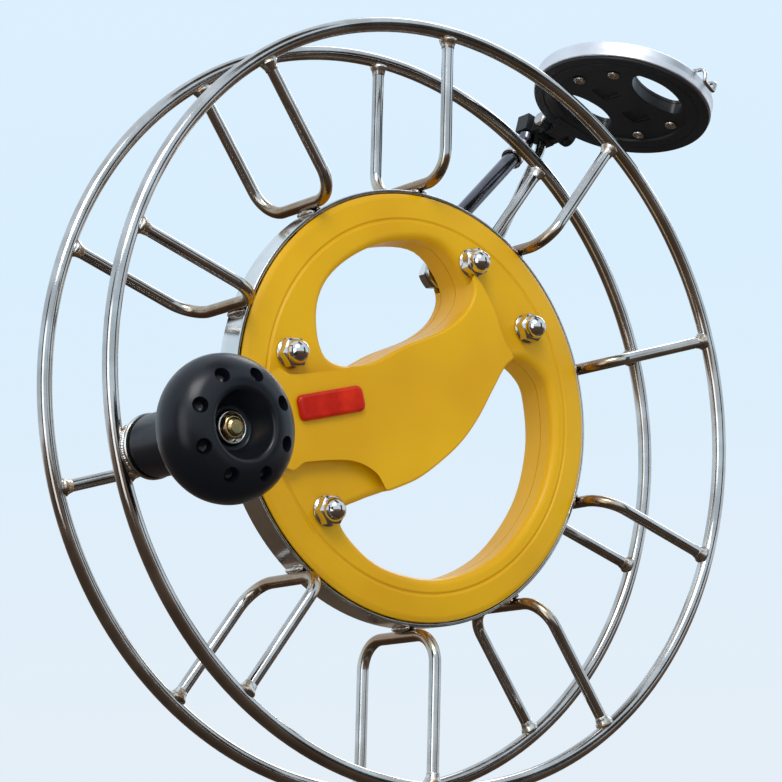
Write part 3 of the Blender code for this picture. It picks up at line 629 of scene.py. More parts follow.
# %% [markdown]
# ## Outlines
# The grip's openings and its bar are free shapes. They are drawn as a few knots given by radius and
# angle, and a Catmull-Rom curve passes through them, because such a curve goes exactly through its
# knots. An outline can be grown along its normals, which gives the rounded edge of an opening.

# %% Smooth outlines


def smooth_outline(knots, per_span=6):
    count = len(knots)
    points = []
    for i in range(count):
        before, start, end, after = (knots[(i + k) % count] for k in (-1, 0, 1, 2))
        for j in range(per_span):
            t = j / per_span
            bend = 2 * before - 5 * start + 4 * end - after
            ease = 3 * start - before - 3 * end + after
            points.append(0.5 * (2 * start + (end - before) * t + bend * t * t + ease * t ** 3))
    return points


def free_outline(reach, knots):
    """A smooth outline through knots, each given as its distance past a radius and its angle."""
    return smooth_outline([polar(reach + past, angle) for past, angle in knots])


def grown(outline, by, z):
    count = len(outline)
    points = []
    for i in range(count):
        along = (outline[(i + 1) % count] - outline[i - 1]).normalized()
        points.append((outline[i].x + along.y * by, outline[i].y - along.x * by, z))
    return points


def rounded(path, radius, steps=10):
    """The path with its inner corners rounded."""
    points = [path[0]]
    for before, corner, after in zip(path, path[1:], path[2:]):
        back = before - corner
        ahead = after - corner
        reach = min(radius, back.length * 0.45, ahead.length * 0.45)
        start = corner + back.normalized() * reach
        end = corner + ahead.normalized() * reach
        for i in range(steps + 1):
            t = i / steps
            points.append(start * (1 - t) ** 2 + corner * 2 * t * (1 - t) + end * t * t)
    points.append(path[-1])
    return points


def eased(profile, reach=0.4, closed=True, steps=3):
    """A lathe's outline with small round corners. The ends of an open one stay where they are."""
    points = [Vector((r, z, 0)) for r, z in profile]
    path = [points[-1], *points, points[0]] if closed else points
    made = rounded(path, reach, steps)
    return [(p.x, p.y) for p in (made[1:-1] if closed else made)]


def finger_opening():
    """The opening above the bar, for the fingers."""
    return free_outline(STEP_RADIUS - 8.6, (
        (1.4, 79), (0.6, 99), (-0.8, 118), (-2.2, 134), (-7.0, 147), (-16.5, 160), (-31.0, 155),
        (-38.5, 115), (-31.5, 72), (-18.5, 61), (-7.5, 64),
    ))


def thumb_opening():
    """The crescent below the bar."""
    return free_outline(STEP_RADIUS - 6.1, (
        (-0.6, 8), (-3.0, 16), (-9.5, 23), (-20.5, 24.5), (-31.0, 14.5), (-39.9, -8), (-44.0, -40),
        (-42.7, -75), (-36.0, -101), (-27.9, -117.5), (-18.5, -128), (-8.5, -133), (-3.5, -126),
        (-0.7, -108), (0.0, -84), (0.0, -58), (0.0, -32), (0.0, -10),
    ))


def bar_outline():
    """The raised bar across the grip, which overlaps the openings and is cut back to them."""
    return free_outline(STEP_RADIUS - 1.5, (
        (0.0, 176.5), (-9.0, 176), (-38.0, 160), (-41.0, 123), (-38.0, 96), (-31.0, 75),
        (-15.5, 66.5), (-20.0, 52), (-25.0, 38), (-25.0, 23), (-28.0, 5), (-40.0, -32),
        (-38.5, -87), (-31.0, -113), (-34.5, -134), (-27.0, -151), (-8.0, -159), (0.0, -160),
    ))


print("knots of the openings:", len(finger_opening()) // 6, "and", len(thumb_opening()) // 6)

# %% [markdown]
# ## The grip
# Two moulded halves clamp the bearing between them. Each is a turned disc with a groove round its
# face, two openings with generously rounded edges, and a raised bar that snakes across it. A
# cutter that flares in a quarter circle at both faces rounds the whole edge in one cut, where a
# bevel would break on the uneven outline.

# %% Grip halves
quarter = [math.radians(15 * i) for i in range(7)]


def opening_cutter(outline, low, high, flare, frame=HUB, spread=1.5, past=6):
    """Cuts an opening whose edge is a quarter circle at both faces."""
    rounding = [(flare * (1 - math.cos(t)), flare * (1 - math.sin(t))) for t in quarter]
    sections = [grown(outline, flare * spread, low - past)]
    sections += [grown(outline, by, low + inside) for by, inside in reversed(rounding)]
    sections += [grown(outline, by, high - inside) for by, inside in rounding]
    sections.append(grown(outline, flare * spread, high + past))
    return loft("opening", sections, frame)


def grip_cutters(low, high, flare):
    return [opening_cutter(shape(), low, high, flare) for shape in (finger_opening, thumb_opening)]


def bar_body(side, depth, height):
    """The bar with a rounded shoulder. side is 1 at the front and -1 at the rear."""
    sections = [grown(bar_outline(), 0.0, side * (depth - 2.0))]
    for t in quarter:
        place = side * (depth + height * math.sin(t))
        sections.append(grown(bar_outline(), -2.6 * (1 - math.cos(t)), place))
    bar = loft("bar", sections, HUB)
    return cut(bar, *grip_cutters(-REAR_DEPTH - REAR_BAR_HEIGHT, BAR_TOP, 1.3))


def grip_shell(name, side, face, rim_drop, bar_height):
    race = RACE_WIDTH / 2
    profile = [
        (0.0, face), (STEP_RADIUS - 1.1, face),
        (STEP_RADIUS - 0.6, face - 0.6), (STEP_RADIUS, face - 0.6),
        (STEP_RADIUS + 0.5, face - 0.1), (GRIP_RADIUS - 1.8, face - rim_drop * 0.5),
        (GRIP_RADIUS, face - rim_drop), (GRIP_RADIUS, RIM_LOW), (GRIP_RADIUS - 0.4, RIM_LOW - 0.4),
        (RACE_OUTER - 0.4, RIM_LOW), (RACE_OUTER - 0.4, race + 0.8),
        (RACE_INNER + 2.8, race + 0.8), (RACE_INNER + 2.8, race + GAP),
        (RACE_INNER - GAP, race + GAP), (RACE_INNER - GAP, GAP / 2), (0.0, GAP / 2),
    ]
    profile = eased(profile, 0.7, closed=False)
    shell = lathe(name, [(radius, side * z) for radius, z in profile], HUB, 144)
    cutters = grip_cutters(-REAR_DEPTH, FRONT_DEPTH, 3.0)
    for angle in BOLT_ANGLES:
        place = HUB @ moved(*polar(BOLT_CIRCLE, angle))
        cutters.append(prism("bolt_hole", 32, BOLT_HOLE / 2, -40, 40, place))
    cut(shell, *cutters)
    return add(shell, bar_body(side, face, bar_height))


front_shell = grip_shell("front_grip", 1, FRONT_DEPTH, FRONT_RIM_DROP, FRONT_BAR_HEIGHT)
rear_shell = grip_shell("rear_grip", -1, REAR_DEPTH, REAR_RIM_DROP, REAR_BAR_HEIGHT)
print("grip halves:", len(front_shell.data.polygons), len(rear_shell.data.polygons), "faces")

# %% [markdown]
# ## The lock slider
# A red block lies on the bar. Its stem goes through a slot, and a flat tongue runs out between the
# face and the bearing to the slotted ring of the drum. The slot in the yellow face is longer than
# the stem by the travel.

# %% Slider and its slot
slider_at = polar(SLIDER_POSITION, SLIDER_DEG)
across = slider_at.dot(slide_y)
tongue_end = math.sqrt(TONGUE_TIP ** 2 - across ** 2) - slider_at.dot(slide_x)
stem_half = SLIDER_LENGTH / 2 - 6.0
stem_wide = 2.6
button_low = BAR_TOP + GAP
button_top = BAR_TOP + 2.2


def button_section(inset, z):
    """A rectangle with round corners."""
    half_x = SLIDER_LENGTH / 2 - inset
    half_y = SLIDER_WIDTH / 2 - inset
    corner = 2.4 - inset * 0.5
    points = []
    for k, (x, y) in enumerate(((1, 1), (-1, 1), (-1, -1), (1, -1))):
        for step in range(7):
            spot = polar(corner, 90 * k + 15 * step)
            points.append((x * (half_x - corner) + spot.x, y * (half_y - corner) + spot.y, z))
    return points


sections = [button_section(0.15, button_low), button_section(0.0, button_low + 0.2)]
for t in quarter:
    sections.append(button_section(1.5 * (1 - math.cos(t)), button_top - 1.5 * (1 - math.sin(t))))
slider = box("slider", (-stem_half, -stem_wide, TONGUE_LOW),
             (stem_half, stem_wide, button_low + 0.6), SLIDE)
tongue = box("tongue", (stem_half - 2, -TONGUE_WIDTH / 2, TONGUE_LOW),
             (tongue_end, TONGUE_WIDTH / 2, TONGUE_HIGH), SLIDE)
add(slider, loft("button", sections, SLIDE), tongue)
piece(slider, red, "lock_slider")

stem_slot = box("stem_slot", (-stem_half - GAP, -stem_wide - GAP, TONGUE_LOW - 0.8),
                (stem_half + LOCK_TRAVEL + GAP, stem_wide + GAP, BAR_TOP + 8), SLIDE)
tongue_slot = box("tongue_slot", (stem_half - 2, -TONGUE_WIDTH / 2 - GAP, TONGUE_LOW - 0.8),
                  (tongue_end + LOCK_TRAVEL + 12, TONGUE_WIDTH / 2 + GAP, TONGUE_HIGH + GAP), SLIDE)
cut(front_shell, stem_slot, tongue_slot)
piece(front_shell, yellow, "front_grip_shell")
piece(rear_shell, yellow, "rear_grip_shell")

# %% [markdown]
# ## The bearing
# The wheel turns on one large, thin ball bearing. Only a line of it shows between grip and drum,
# but it is a real bearing: two races with a groove each, and a cage that keeps the balls apart.

# %% Races, cage and balls
half_race = RACE_WIDTH / 2
ball_circle = (RACE_INNER + RACE_OUTER) / 2
groove = BALL_RADIUS + GAP
bow = []
for i in range(7):
    t = math.radians(15 * i - 45)
    bow.append((groove * math.cos(t), groove * math.sin(t)))
for name, side, wall in (("inner_race", -1, RACE_INNER), ("outer_race", 1, RACE_OUTER)):
    lip = ball_circle + side * 0.9
    profile = [(wall, -half_race), (lip, -half_race)]
    profile += [(ball_circle + side * x, y) for x, y in bow] + [(lip, half_race), (wall, half_race)]
    piece(lathe(name, eased(profile, 0.3), HUB, 144), bearing_steel, "bearing_" + name)

cage = bmesh.new()
strip = [(ball_circle + x, z) for x, z in ((-0.5, -2.2), (0.5, -2.2), (0.5, 2.2), (-0.5, 2.2))]
lathe("cage", eased(strip, 0.2), None, 144, made=cage)
for i in range(BALL_COUNT):
    spot = Matrix.Translation(polar(ball_circle, 360 * (i + 0.5) / BALL_COUNT))
    ball(cage, spot, BALL_RADIUS, 20, 12)
piece(to_object("cage_and_balls", cage, HUB), bearing_steel, "ball_cage")

# %% [markdown]
# ## The drum band
# A rolled band carries the spokes. A web inside it holds the outer race, and a slotted ring beside
# the web takes the tongue of the lock. The slots are cut with one comb of small blocks.

# %% Drum band
drum_inner = DRUM_RADIUS - DRUM_WALL
web_inner = RACE_OUTER + GAP
web_half = half_race + 0.4
drum = lathe("band", eased([
    (web_inner, -web_half), (drum_inner, -web_half),
    (drum_inner, -DRUM_WIDTH / 2), (DRUM_RADIUS, -DRUM_WIDTH / 2),
    (DRUM_RADIUS, DRUM_WIDTH / 2), (drum_inner, DRUM_WIDTH / 2), (drum_inner, SLOT_RING),
    (web_inner + 0.7, SLOT_RING), (web_inner + 0.7, web_half), (web_inner, web_half),
], 0.35), HUB, 160)
tip_angle = math.degrees(math.atan2(*(slider_at + slide_x * tongue_end).yx))
comb = bmesh.new()
for i in range(LOCK_SLOTS):
    turn = turned(tip_angle + 360 * i / LOCK_SLOTS)
    middle = ((web_inner + drum_inner - 0.4) / 2, 0, (web_half + SLOT_RING + 1) / 2)
    size = (drum_inner - web_inner + 0.2, TONGUE_WIDTH + 1.6, SLOT_RING + 1 - web_half, 1.0)
    matrix = turn @ Matrix.Translation(middle) @ Matrix.Diagonal(size)
    bmesh.ops.create_cube(comb, size=1.0, matrix=matrix)
cut(drum, to_object("comb", comb, HUB))
piece(drum, band_steel, "drum_band")

# %% [markdown]
# ## Rings and spokes
# Ten wires are bent into a U and welded between the two rings, with the bottom of the U on the
# band. The wires have enough points along their bends for a highlight to run smoothly.

# %% Rings and spokes
for name, z in (("front_rim_ring", RING_Y), ("rear_rim_ring", -RING_Y)):
    circle = [polar(RING_RADIUS, 1.875 * i, z) for i in range(192)]
    piece(pipe(name + "_wire", circle, RING_WIRE / 2, FRONT, 24, closed=True), wire_steel, name)

spoke_foot = DRUM_RADIUS + PEG_HEIGHT + GAP + SPOKE_WIRE / 2
leg_end = RING_RADIUS - RING_WIRE / 2 - GAP
flat_half = RING_Y - SPOKE_BEND
for i in range(SPOKE_COUNT):
    angle = FIRST_SPOKE_DEG + 360 * i / SPOKE_COUNT
    path = [polar(leg_end, angle, RING_Y)]
    for height, start in ((flat_half, 90), (-flat_half, 180)):
        for step in range(15):
            t = math.radians(start + 90 * step / 14)
            out = spoke_foot + SPOKE_BEND + SPOKE_BEND * math.cos(t)
            path.append(polar(out, angle, height + SPOKE_BEND * math.sin(t)))
    path.append(polar(leg_end, angle, -RING_Y))
    spoke = pipe(f"spoke_wire_{i + 1:02d}", path, SPOKE_WIRE / 2, FRONT, 20)
    piece(spoke, spoke_steel, f"spoke_{i + 1:02d}")

# %% [markdown]
# ## Weld fillets
# A weld on thin wire is a small flared collar round each leg, and two beads beside each foot. They
# are turned and round shapes whose vertices a smooth noise moves, because a bump alone would leave
# a perfect outline.

# %% Legs and feet
WELD_SEED = 7
noise.seed_set(WELD_SEED)


def uneven(made, amount, size):
    """Moves each vertex by a smooth noise, as metal that ran and froze."""
    for vertex in made.verts:
        vertex.co += noise.noise_vector(vertex.co / size) * amount


def weld_beads(name, made, frame, body, amount, size):
    uneven(made, amount, size)
    piece(to_object(name, made, frame), weld, body=body, smooth=80)


legs = bmesh.new()
feet = bmesh.new()
collar = [
    (1.9, -3.2), (2.35, -3.0), (2.5, -2.0), (2.8, -1.0),
    (3.4, 0.0), (3.5, 0.8), (2.6, 1.4), (1.2, 1.4),
]
for i in range(SPOKE_COUNT):
    turn = turned(FIRST_SPOKE_DEG + 360 * i / SPOKE_COUNT)
    for z in (RING_Y, -RING_Y):
        place = turn @ Matrix.Translation((leg_end, 0, z)) @ turned(90, "Y")
        lathe("collar", collar, None, 20, made=legs, place=place)
    for side in (-1, 1):
        middle = Matrix.Translation((DRUM_RADIUS + 0.5, side * 1.7, HUB_FORWARD))
        size = Matrix.Diagonal((1.5, 1.5, DRUM_WIDTH / 2 - 0.4, 1.0))
        ball(feet, turn @ middle @ size, 1.0, 16, 16)
weld_beads("leg_welds", legs, FRONT, "wheel", 0.22, 1.6)
weld_beads("foot_welds", feet, FRONT, "wheel", 0.3, 1.5)

# %% [markdown]
# ## Bolts and cap nuts
# The cap nuts are what the eye catches on the face: a hexagon with turned-off corners on a small
# flange, and a polished dome. A hexagonal bar cut with a wide cone gives the curved chamfer that
# every real nut has.

# %% Hexagons with a turned chamfer
corner = ACROSS_FLATS / 2 / math.cos(math.radians(30))


def hexagon(name, radius, low, high, frame, turn=0.0, both=False):
    """A hexagonal bar whose corners are turned off at the top, and at the bottom if asked."""
    bar = prism(name, 6, radius, low, high, frame, turn)
    flat = radius * math.cos(math.radians(30))
    top = [
        (radius + 2, high - 1.9), (radius + 0.1, high - 0.75),
        (flat - 0.35, high), (flat - 0.35, high + 2), (radius + 2, high + 2),
    ]
    cutters = [lathe("chamfer", top, frame, 64)]
    if both:
        cutters.append(lathe("chamfer", [(r, low + high - z) for r, z in top], frame, 64))
    return softened(cut(bar, *cutters), 0.18, 25, 2)


dome_radius = ACROSS_FLATS / 2 - 0.5
nut_seat = FRONT_DEPTH + GAP
for i, angle in enumerate(BOLT_ANGLES):
    spot = HUB @ moved(*polar(BOLT_CIRCLE, angle))
    seat = -REAR_DEPTH - GAP - (PLATE_THICKNESS + GAP if i >= 2 else 0.0)
    end = nut_seat + NUT_HEX + 1.0
    bolt = prism(f"bolt_{i + 1}", 32, BOLT_SHAFT / 2, seat - 1, end, spot, ease=0.4)
    head = hexagon("head", corner, -seat, -seat + HEAD_HEIGHT, spot @ turned(180, "X"), turn=-angle)
    piece(add(bolt, head), chrome, f"grip_bolt_{i + 1}")

    nut = hexagon(f"nut_{i + 1}", corner, nut_seat, nut_seat + NUT_HEX, spot, turn=angle + 20)
    outline = [(0.0, nut_seat + NUT_HEX - 1.5), (dome_radius, nut_seat + NUT_HEX - 1.5)]
    for step in range(16):
        rise = math.radians(6 * step)
        height = nut_seat + NUT_HEX + NUT_DOME * math.sin(rise)
        outline.append((dome_radius * math.cos(rise), height))
    outline[-1] = (0.0, nut_seat + NUT_HEX + NUT_DOME)
    flange = [(3.3, 0.0), (5.8, 0.0), (5.8, 0.4), (5.2, 0.8), (3.3, 0.8)]
    flange = eased([(radius, nut_seat + z) for radius, z in flange], 0.2)
    add(nut, lathe("dome", outline, spot, 64), lathe("flange", flange, spot, 64))
    bore = prism("bore", 32, BOLT_SHAFT / 2 + GAP, nut_seat - 2, nut_seat + NUT_HEX + 1.6, spot)
    piece(cut(nut, bore), chrome, f"cap_nut_{i + 1}")

# %% [markdown]
# ## The crank knob
# A hollow black knob turns on a stud that stands on the front ring. Its head is a soft mushroom
# with a wide bowl and eight round dimples for a fingertip. The profile is drawn with few points
# and its corners are eased, and the dimples are cut with short tapered pegs.

# %% Knob
base_low = RING_Y + RING_WIRE / 2 + GAP
base_high = base_low + 2.0
shank_low = base_high + 0.8
sleeve_seat = shank_low + 35.0
recess = sleeve_seat + 10.5
face = recess + 9.0
bore = STUD_RADIUS + 0.5
pocket = SLEEVE_RADIUS + GAP

knob = lathe("knob", eased([
    (bore, shank_low), (SHANK_RADIUS - 1.6, shank_low), (SHANK_RADIUS - 0.3, shank_low + 0.7),
    (SHANK_RADIUS, shank_low + 2.2), (SHANK_RADIUS, face - 25.0), (SHANK_RADIUS + 0.8, face - 23.6),
    (KNOB_RADIUS - 8.0, face - 22.4), (KNOB_RADIUS - 3.4, face - 20.2),
    (KNOB_RADIUS - 0.9, face - 16.5),
    (KNOB_RADIUS, face - 12.2), (KNOB_RADIUS - 0.5, face - 8.4), (KNOB_RADIUS - 2.4, face - 4.6),
    (KNOB_RADIUS - 5.6, face - 1.8), (KNOB_RADIUS - 9.6, face - 0.3), (KNOB_RADIUS - 12.4, face),
    (KNOB_RADIUS - 13.6, face - 0.6), (KNOB_RADIUS - 15.2, face - 4.5),
    (KNOB_RADIUS - 17.6, recess),
    (pocket, recess), (pocket, sleeve_seat - 1.0), (bore, sleeve_seat - 1.0),
], 2.2, steps=5), KNOB, 128)
pegs = bmesh.new()
for i in range(DIMPLE_COUNT):
    around = 27 + 360 * i / DIMPLE_COUNT
    place = Matrix.Translation(polar(DIMPLE_CIRCLE, around, face - 1.6))
    steps = [
        (0.0, -3.2), (DIMPLE_RADIUS - 1.3, -3.2), (DIMPLE_RADIUS - 0.5, -2.5),
        (DIMPLE_RADIUS - 0.1, 0.6), (DIMPLE_RADIUS + 0.2, 1.4), (DIMPLE_RADIUS + 0.8, 2.2),
        (DIMPLE_RADIUS + 1.5, 3.4), (0.0, 3.4),
    ]
    lathe("peg", steps, None, 32, made=pegs, place=place @ turned(around) @ turned(20, "Y"))
cut(knob, to_object("pegs", pegs, KNOB))
piece(knob, black, "knob_handle", smooth=50)

piece(lathe("sleeve", eased([
    (bore, sleeve_seat), (SLEEVE_RADIUS, sleeve_seat), (SLEEVE_RADIUS, recess + 1.2),
    (SLEEVE_RADIUS - 0.7, recess + 1.2), (SLEEVE_RADIUS - 0.7, recess - 2.6), (bore, recess - 2.6),
], 0.35), KNOB, 64), chrome, "knob_sleeve")

# %% [markdown]
# ## Stud, nut and base plate
# The knob turns on a threaded stud with a yellow zinc nut, deep in the bowl. The thread is turned
# as a row of ridges and not as a helix, because only three or four of them show. The stud stands
# on a round plate that is welded to the ring, with beads only where plate and wire meet.

# %% Stud, its nut and the base plate
foot = base_high + GAP
thread = [(0.0, foot), (STUD_RADIUS - 0.3, foot), (STUD_RADIUS, base_high + 0.8)]
pitch = 1.0
place = recess - 9.0
thread.append((STUD_RADIUS, place))
while place < recess + 2.6:
    thread += [(STUD_RADIUS - 0.42, place + pitch / 2), (STUD_RADIUS, place + pitch)]
    place += pitch
thread += [(STUD_RADIUS - 0.7, recess + 3.6), (0.0, recess + 3.6)]
piece(lathe("stud", thread, KNOB, 48), zinc, "knob_stud", smooth=25)

nut = hexagon("stud_nut", 4.4, recess - 2.3, recess + 2.4, KNOB, turn=12, both=True)
cut(nut, prism("bore", 32, STUD_RADIUS + GAP, recess - 6, recess + 6, KNOB))
piece(nut, zinc, "knob_nut")

plate = prism("base_plate", 64, SHANK_RADIUS + 0.4, base_low, base_high, KNOB, ease=0.35)
piece(plate, plate_steel, "knob_base_plate")

bead = bmesh.new()
for around in range(0, 360, 4):
    edge = polar(SHANK_RADIUS - 0.2, around, base_low - 0.3)
    world_side = (FRONT.inverted() @ KNOB @ (edge * MM)) / MM
    if abs(math.hypot(world_side.x, world_side.y) - RING_RADIUS) < 3.4:
        ball(bead, Matrix.Translation(edge), 1.25, 12, 10)
weld_beads("knob_weld", bead, KNOB, "wheel", 0.25, 1.2)

# %% [markdown]
# ## Mounting plate
# A steel plate sits under the heads of two grip bolts behind the wheel. Two bent arms are welded
# to it. The plate is the outline that a belt round four discs would take, so its corners are round
# wherever the bolts and feet are put.

# %% Plate
plate_low = -REAR_DEPTH - GAP - PLATE_THICKNESS
plate_high = -REAR_DEPTH - GAP
first = polar(BOLT_CIRCLE, BOLT_ANGLES[2])
second = polar(BOLT_CIRCLE, BOLT_ANGLES[3])
foot_a = second + polar(10.6, 66.0)
foot_b = first + polar(16.5, 91.0)


def plate_section(z, inset):
    corners = [(first * 1.015, 6.0), (foot_b, 5.0), (foot_a, 5.0), (second * 1.015, 6.0)]
    points = []
    for k, (middle, radius) in enumerate(corners):
        into = middle - corners[k - 1][0]
        out = corners[(k + 1) % 4][0] - middle
        start = math.atan2(into.y, into.x) - math.pi / 2
        turn = (math.atan2(out.y, out.x) - math.atan2(into.y, into.x)) % math.tau
        for step in range(11):
            points.append(middle + polar(radius - inset, math.degrees(start + turn * step / 10), z))
    return points


steps = ((0.35, plate_low), (0.0, plate_low + 0.35), (0.0, plate_high - 0.35), (0.35, plate_high))
plate = loft("mounting_plate", [plate_section(z, inset) for inset, z in steps], HUB)
for i in (2, 3):
    place = HUB @ moved(*polar(BOLT_CIRCLE, BOLT_ANGLES[i]))
    cut(plate, prism("hole", 32, BOLT_HOLE / 2, plate_low - 5, plate_high + 5, place))
piece(plate, plate_steel, "guide_mount_plate")

# %% [markdown]
# ## Arms and clamp
# A dark tube and a thinner bright rod climb round the rear ring to the guide. Each is a short path
# of straight runs whose corners are rounded before the pipe is drawn, as a tube is bent round a
# former. A bright clamp sleeve sits on the tube, and weld beads hold both arms at the plate.

# %% Arms
bracket_foot = -4.0
side_a = -6.0
side_b = 2.0


def guide_point(x, y, z):
    """A point of the guide's frame, in the hub's frame."""
    return (HUB.inverted() @ GUIDE @ (Vector((x, y, z)) * MM)) / MM


def arm_path(foot, radius, side):
    """From the plate, out behind the rear ring and up to the foot of the bracket."""
    top = guide_point(-8.2, side, bracket_foot - GAP)
    neck = guide_point(-8.2, side, bracket_foot - 5.0)
    along = (neck.xy - foot.xy).normalized()
    clear = -(RING_Y + RING_WIRE / 2 + 0.8 + radius) - HUB_FORWARD
    start = Vector((foot.x, foot.y, plate_low - GAP - radius))
    knee = Vector((*(foot.xy + along * 18.0), clear))
    return [start, knee, neck, top]


path_a = arm_path(foot_a, ARM_A_RADIUS, side_a)
path_b = arm_path(foot_b, ARM_B_RADIUS, side_b)
piece(pipe("arm_tube", rounded(path_a, 9.0), ARM_A_RADIUS, HUB, 28), dark_steel, "guide_arm_a")
piece(pipe("arm_rod", rounded(path_b, 9.0), ARM_B_RADIUS, HUB, 24), wire_steel, "guide_arm_b")

collar_z = (path_a[2] - path_a[1]).normalized()
collar_x = collar_z.orthogonal().normalized()
COLLAR = HUB @ columns(collar_x, collar_z.cross(collar_x), collar_z, path_a[2])
sleeve_out = ARM_A_RADIUS + 1.3
piece(lathe("arm_clamp", eased([
    (ARM_A_RADIUS + GAP, -14.0), (sleeve_out, -14.0), (sleeve_out, -12.2),
    (sleeve_out - 0.4, -11.9), (sleeve_out - 0.4, -5.7), (sleeve_out, -5.4),
    (sleeve_out, -3.6), (ARM_A_RADIUS + GAP, -3.6),
], 0.25), COLLAR, 64), chrome, "clamp_sleeve")

arm_beads = bmesh.new()
for spot, radius in ((path_a[0], ARM_A_RADIUS), (path_b[0], ARM_B_RADIUS)):
    for side in (-1, 1):
        along = (path_a[1] - path_a[0]).xy.normalized()
        for step in range(-3, 4):
            place = Vector((spot.x - along.y * side * radius * 0.8 + along.x * (step * 1.4 + 3),
                            spot.y + along.x * side * radius * 0.8 + along.y * (step * 1.4 + 3),
                            plate_low - 0.3))
            ball(arm_beads, Matrix.Translation(place), 1.2, 10, 8)
weld_beads("arm_welds", arm_beads, HUB, "grip", 0.25, 1.2)

# %% [markdown]
# ## Bracket, pin and thumb nut
# The disc folds on a pin between the two ears of a small black bracket. A knurled nut on the end
# of the pin sets how stiffly it folds. Knurling is a ring of shallow teeth, so the nut is lofted
# from sections whose radius goes in and out.

# %% Bracket
fork = 3.2
ear_out = 6.4
bracket = box("bracket", (-12.0, side_a - 3.8, bracket_foot), (-5.2, ear_out, 3.4), GUIDE)
for side in (-1, 1):
    nose = [(-7.0, -3.6), (0.2, -3.6)]
    for step in range(9):
        turn = math.radians(-75 + 150 * step / 8)
        nose.append((0.2 + 3.6 * math.cos(turn), 3.4 * math.sin(turn)))
    nose += [(0.2, 3.2), (-7.0, 3.2)]
    faces = sorted((side * (fork + GAP), side * ear_out))
    add(bracket, loft("ear", [[(x, y, z) for x, z in nose] for y in faces], GUIDE))
softened(bracket, 0.5)
cut(bracket, prism("pin_hole", 32, PIN_RADIUS + GAP, -30, 30, PIN))
piece(bracket, black_matt, "guide_bracket")

pin = prism("pin", 32, PIN_RADIUS, -ear_out - 1, ear_out + 4.4, PIN, ease=0.4)
head = [(0.0, -2.2), (2.2, -2.2), (3.2, -1.4), (3.2, -GAP), (0.0, -GAP)]
head = eased([(radius, -ear_out + z) for radius, z in head], 0.3, closed=False)
piece(add(pin, lathe("pin_head", head, PIN, 48)), plate_steel, "hinge_pin")

nut_low = ear_out + GAP
knurl = []
for size, z in ((3.8, nut_low), (4.3, nut_low + 0.6), (4.3, nut_low + 3.0), (3.8, nut_low + 3.6)):
    knurl.append([
        polar(size + (0.14 if i % 2 else -0.14), 360 * i / KNURL_POINTS, z)
        for i in range(KNURL_POINTS)
    ])
thumb = loft("knurled_nut", knurl, PIN)
cut(thumb, prism("bore", 32, PIN_RADIUS + GAP, nut_low - 3, nut_low + 8, PIN))
piece(thumb, black_matt, "thumb_nut", smooth=20)

# %% [markdown]
# ## The guide disc
# The line runs over a free-turning aluminium rim. It rolls on a bearing ring round a black core,
# and a black cover closes the other side. The core is turned, and its hinge lug is a lofted plate
# with a round end, joined by a low web.

# %% Core
low = -GUIDE_THICKNESS / 2
top = GUIDE_THICKNESS / 2
flange_high = low + 0.9
cover_low = top - 1.7
core_top = cover_low - GAP
barrel = GUIDE_BORE - 3.3
recess_top = low + 1.2

core = lathe("core", eased([
    (0.0, recess_top), (GUIDE_RECESS, recess_top), (GUIDE_RECESS + 0.5, low),
    (GUIDE_RADIUS - 5.4, low), (GUIDE_RADIUS - 5.1, low + 0.4), (GUIDE_RADIUS - 4.5, low + 0.4),
    (GUIDE_RADIUS - 4.2, low), (GUIDE_RADIUS - 0.6, low),
    (GUIDE_RADIUS - 0.3, flange_high), (barrel, flange_high), (barrel, core_top), (0.0, core_top),
], 0.3, closed=False), DISC, 144)
ear_x = -GUIDE_REACH
lug = []
for step in range(13):
    turn = math.radians(250 - 200 * step / 12)
    lug.append((ear_x + 3.8 * math.cos(turn), 3.7 * math.sin(turn)))
lug += [
    (ear_x + 5.6, flange_high - 0.1), (ear_x + 12.0, flange_high - 0.1),
    (ear_x + 12.0, low - 0.7), (ear_x + 1.0, low - 0.7),
]
add(core, softened(loft("lug", [[(x, y, z) for x, z in lug] for y in (-fork, fork)], DISC), 0.35))
web = [(5.0, -fork + 0.2), (14.0, -9.0), (14.0, 9.0), (5.0, fork - 0.2)]
web = [[(ear_x + x, y, z) for x, y in web] for z in (low - 0.5, low + 0.2)]
add(core, softened(loft("web", web, DISC), 0.2))
cut(core, prism("pin_hole", 32, PIN_RADIUS + GAP, -30, 30, PIN))
print("core:", len(core.data.polygons), "faces")

# %% [markdown]
# ## Cover and openings of the disc
# Two openings leave an S-shaped bar across the disc, with two shallow pockets in its lower face.
# Core and cover are cut with the same cutter, so that their openings line up.

# %% Cover and openings


def guide_cutter(angle):
    """One of the two openings of the disc, beside its bar."""
    outline = free_outline(GUIDE_RECESS - 1.4, (
        (0.0, angle - 30), (0.0, angle - 10), (0.0, angle + 12), (0.0, angle + 34),
        (-3.5, angle + 44), (-9.0, angle + 40), (-14.0, angle + 16), (-13.5, angle - 16),
        (-9.0, angle - 34), (-3.0, angle - 37),
    ))
    return opening_cutter(outline, recess_top, top, 0.6, DISC, 2.0, 4)


cover = lathe("cover", eased([
    (0.0, cover_low), (GUIDE_BORE - 0.5, cover_low), (GUIDE_BORE - 0.5, top - 0.3),
    (GUIDE_BORE - 0.8, top), (0.0, top),
], 0.25, closed=False), DISC, 144)
for angle in (6.0, 186.0):
    cut(core, guide_cutter(angle))
    cut(cover, guide_cutter(angle))
for y in (-9.5, 9.5):
    floor_and_top = (-4.5, y - 4.5, low - 2), (4.5, y + 4.5, recess_top + 1.4)
    cut(core, softened(box("pocket", *floor_and_top, DISC @ turned(6)), 0.7))

print("cover:", len(cover.data.polygons), "faces")

# %% [markdown]
# ## Screws of the disc
# Four countersunk screws hold core and cover together. Two thin blocks cut the cross recess, and
# each screw is turned a little further than the last, as no two stop at the same angle.

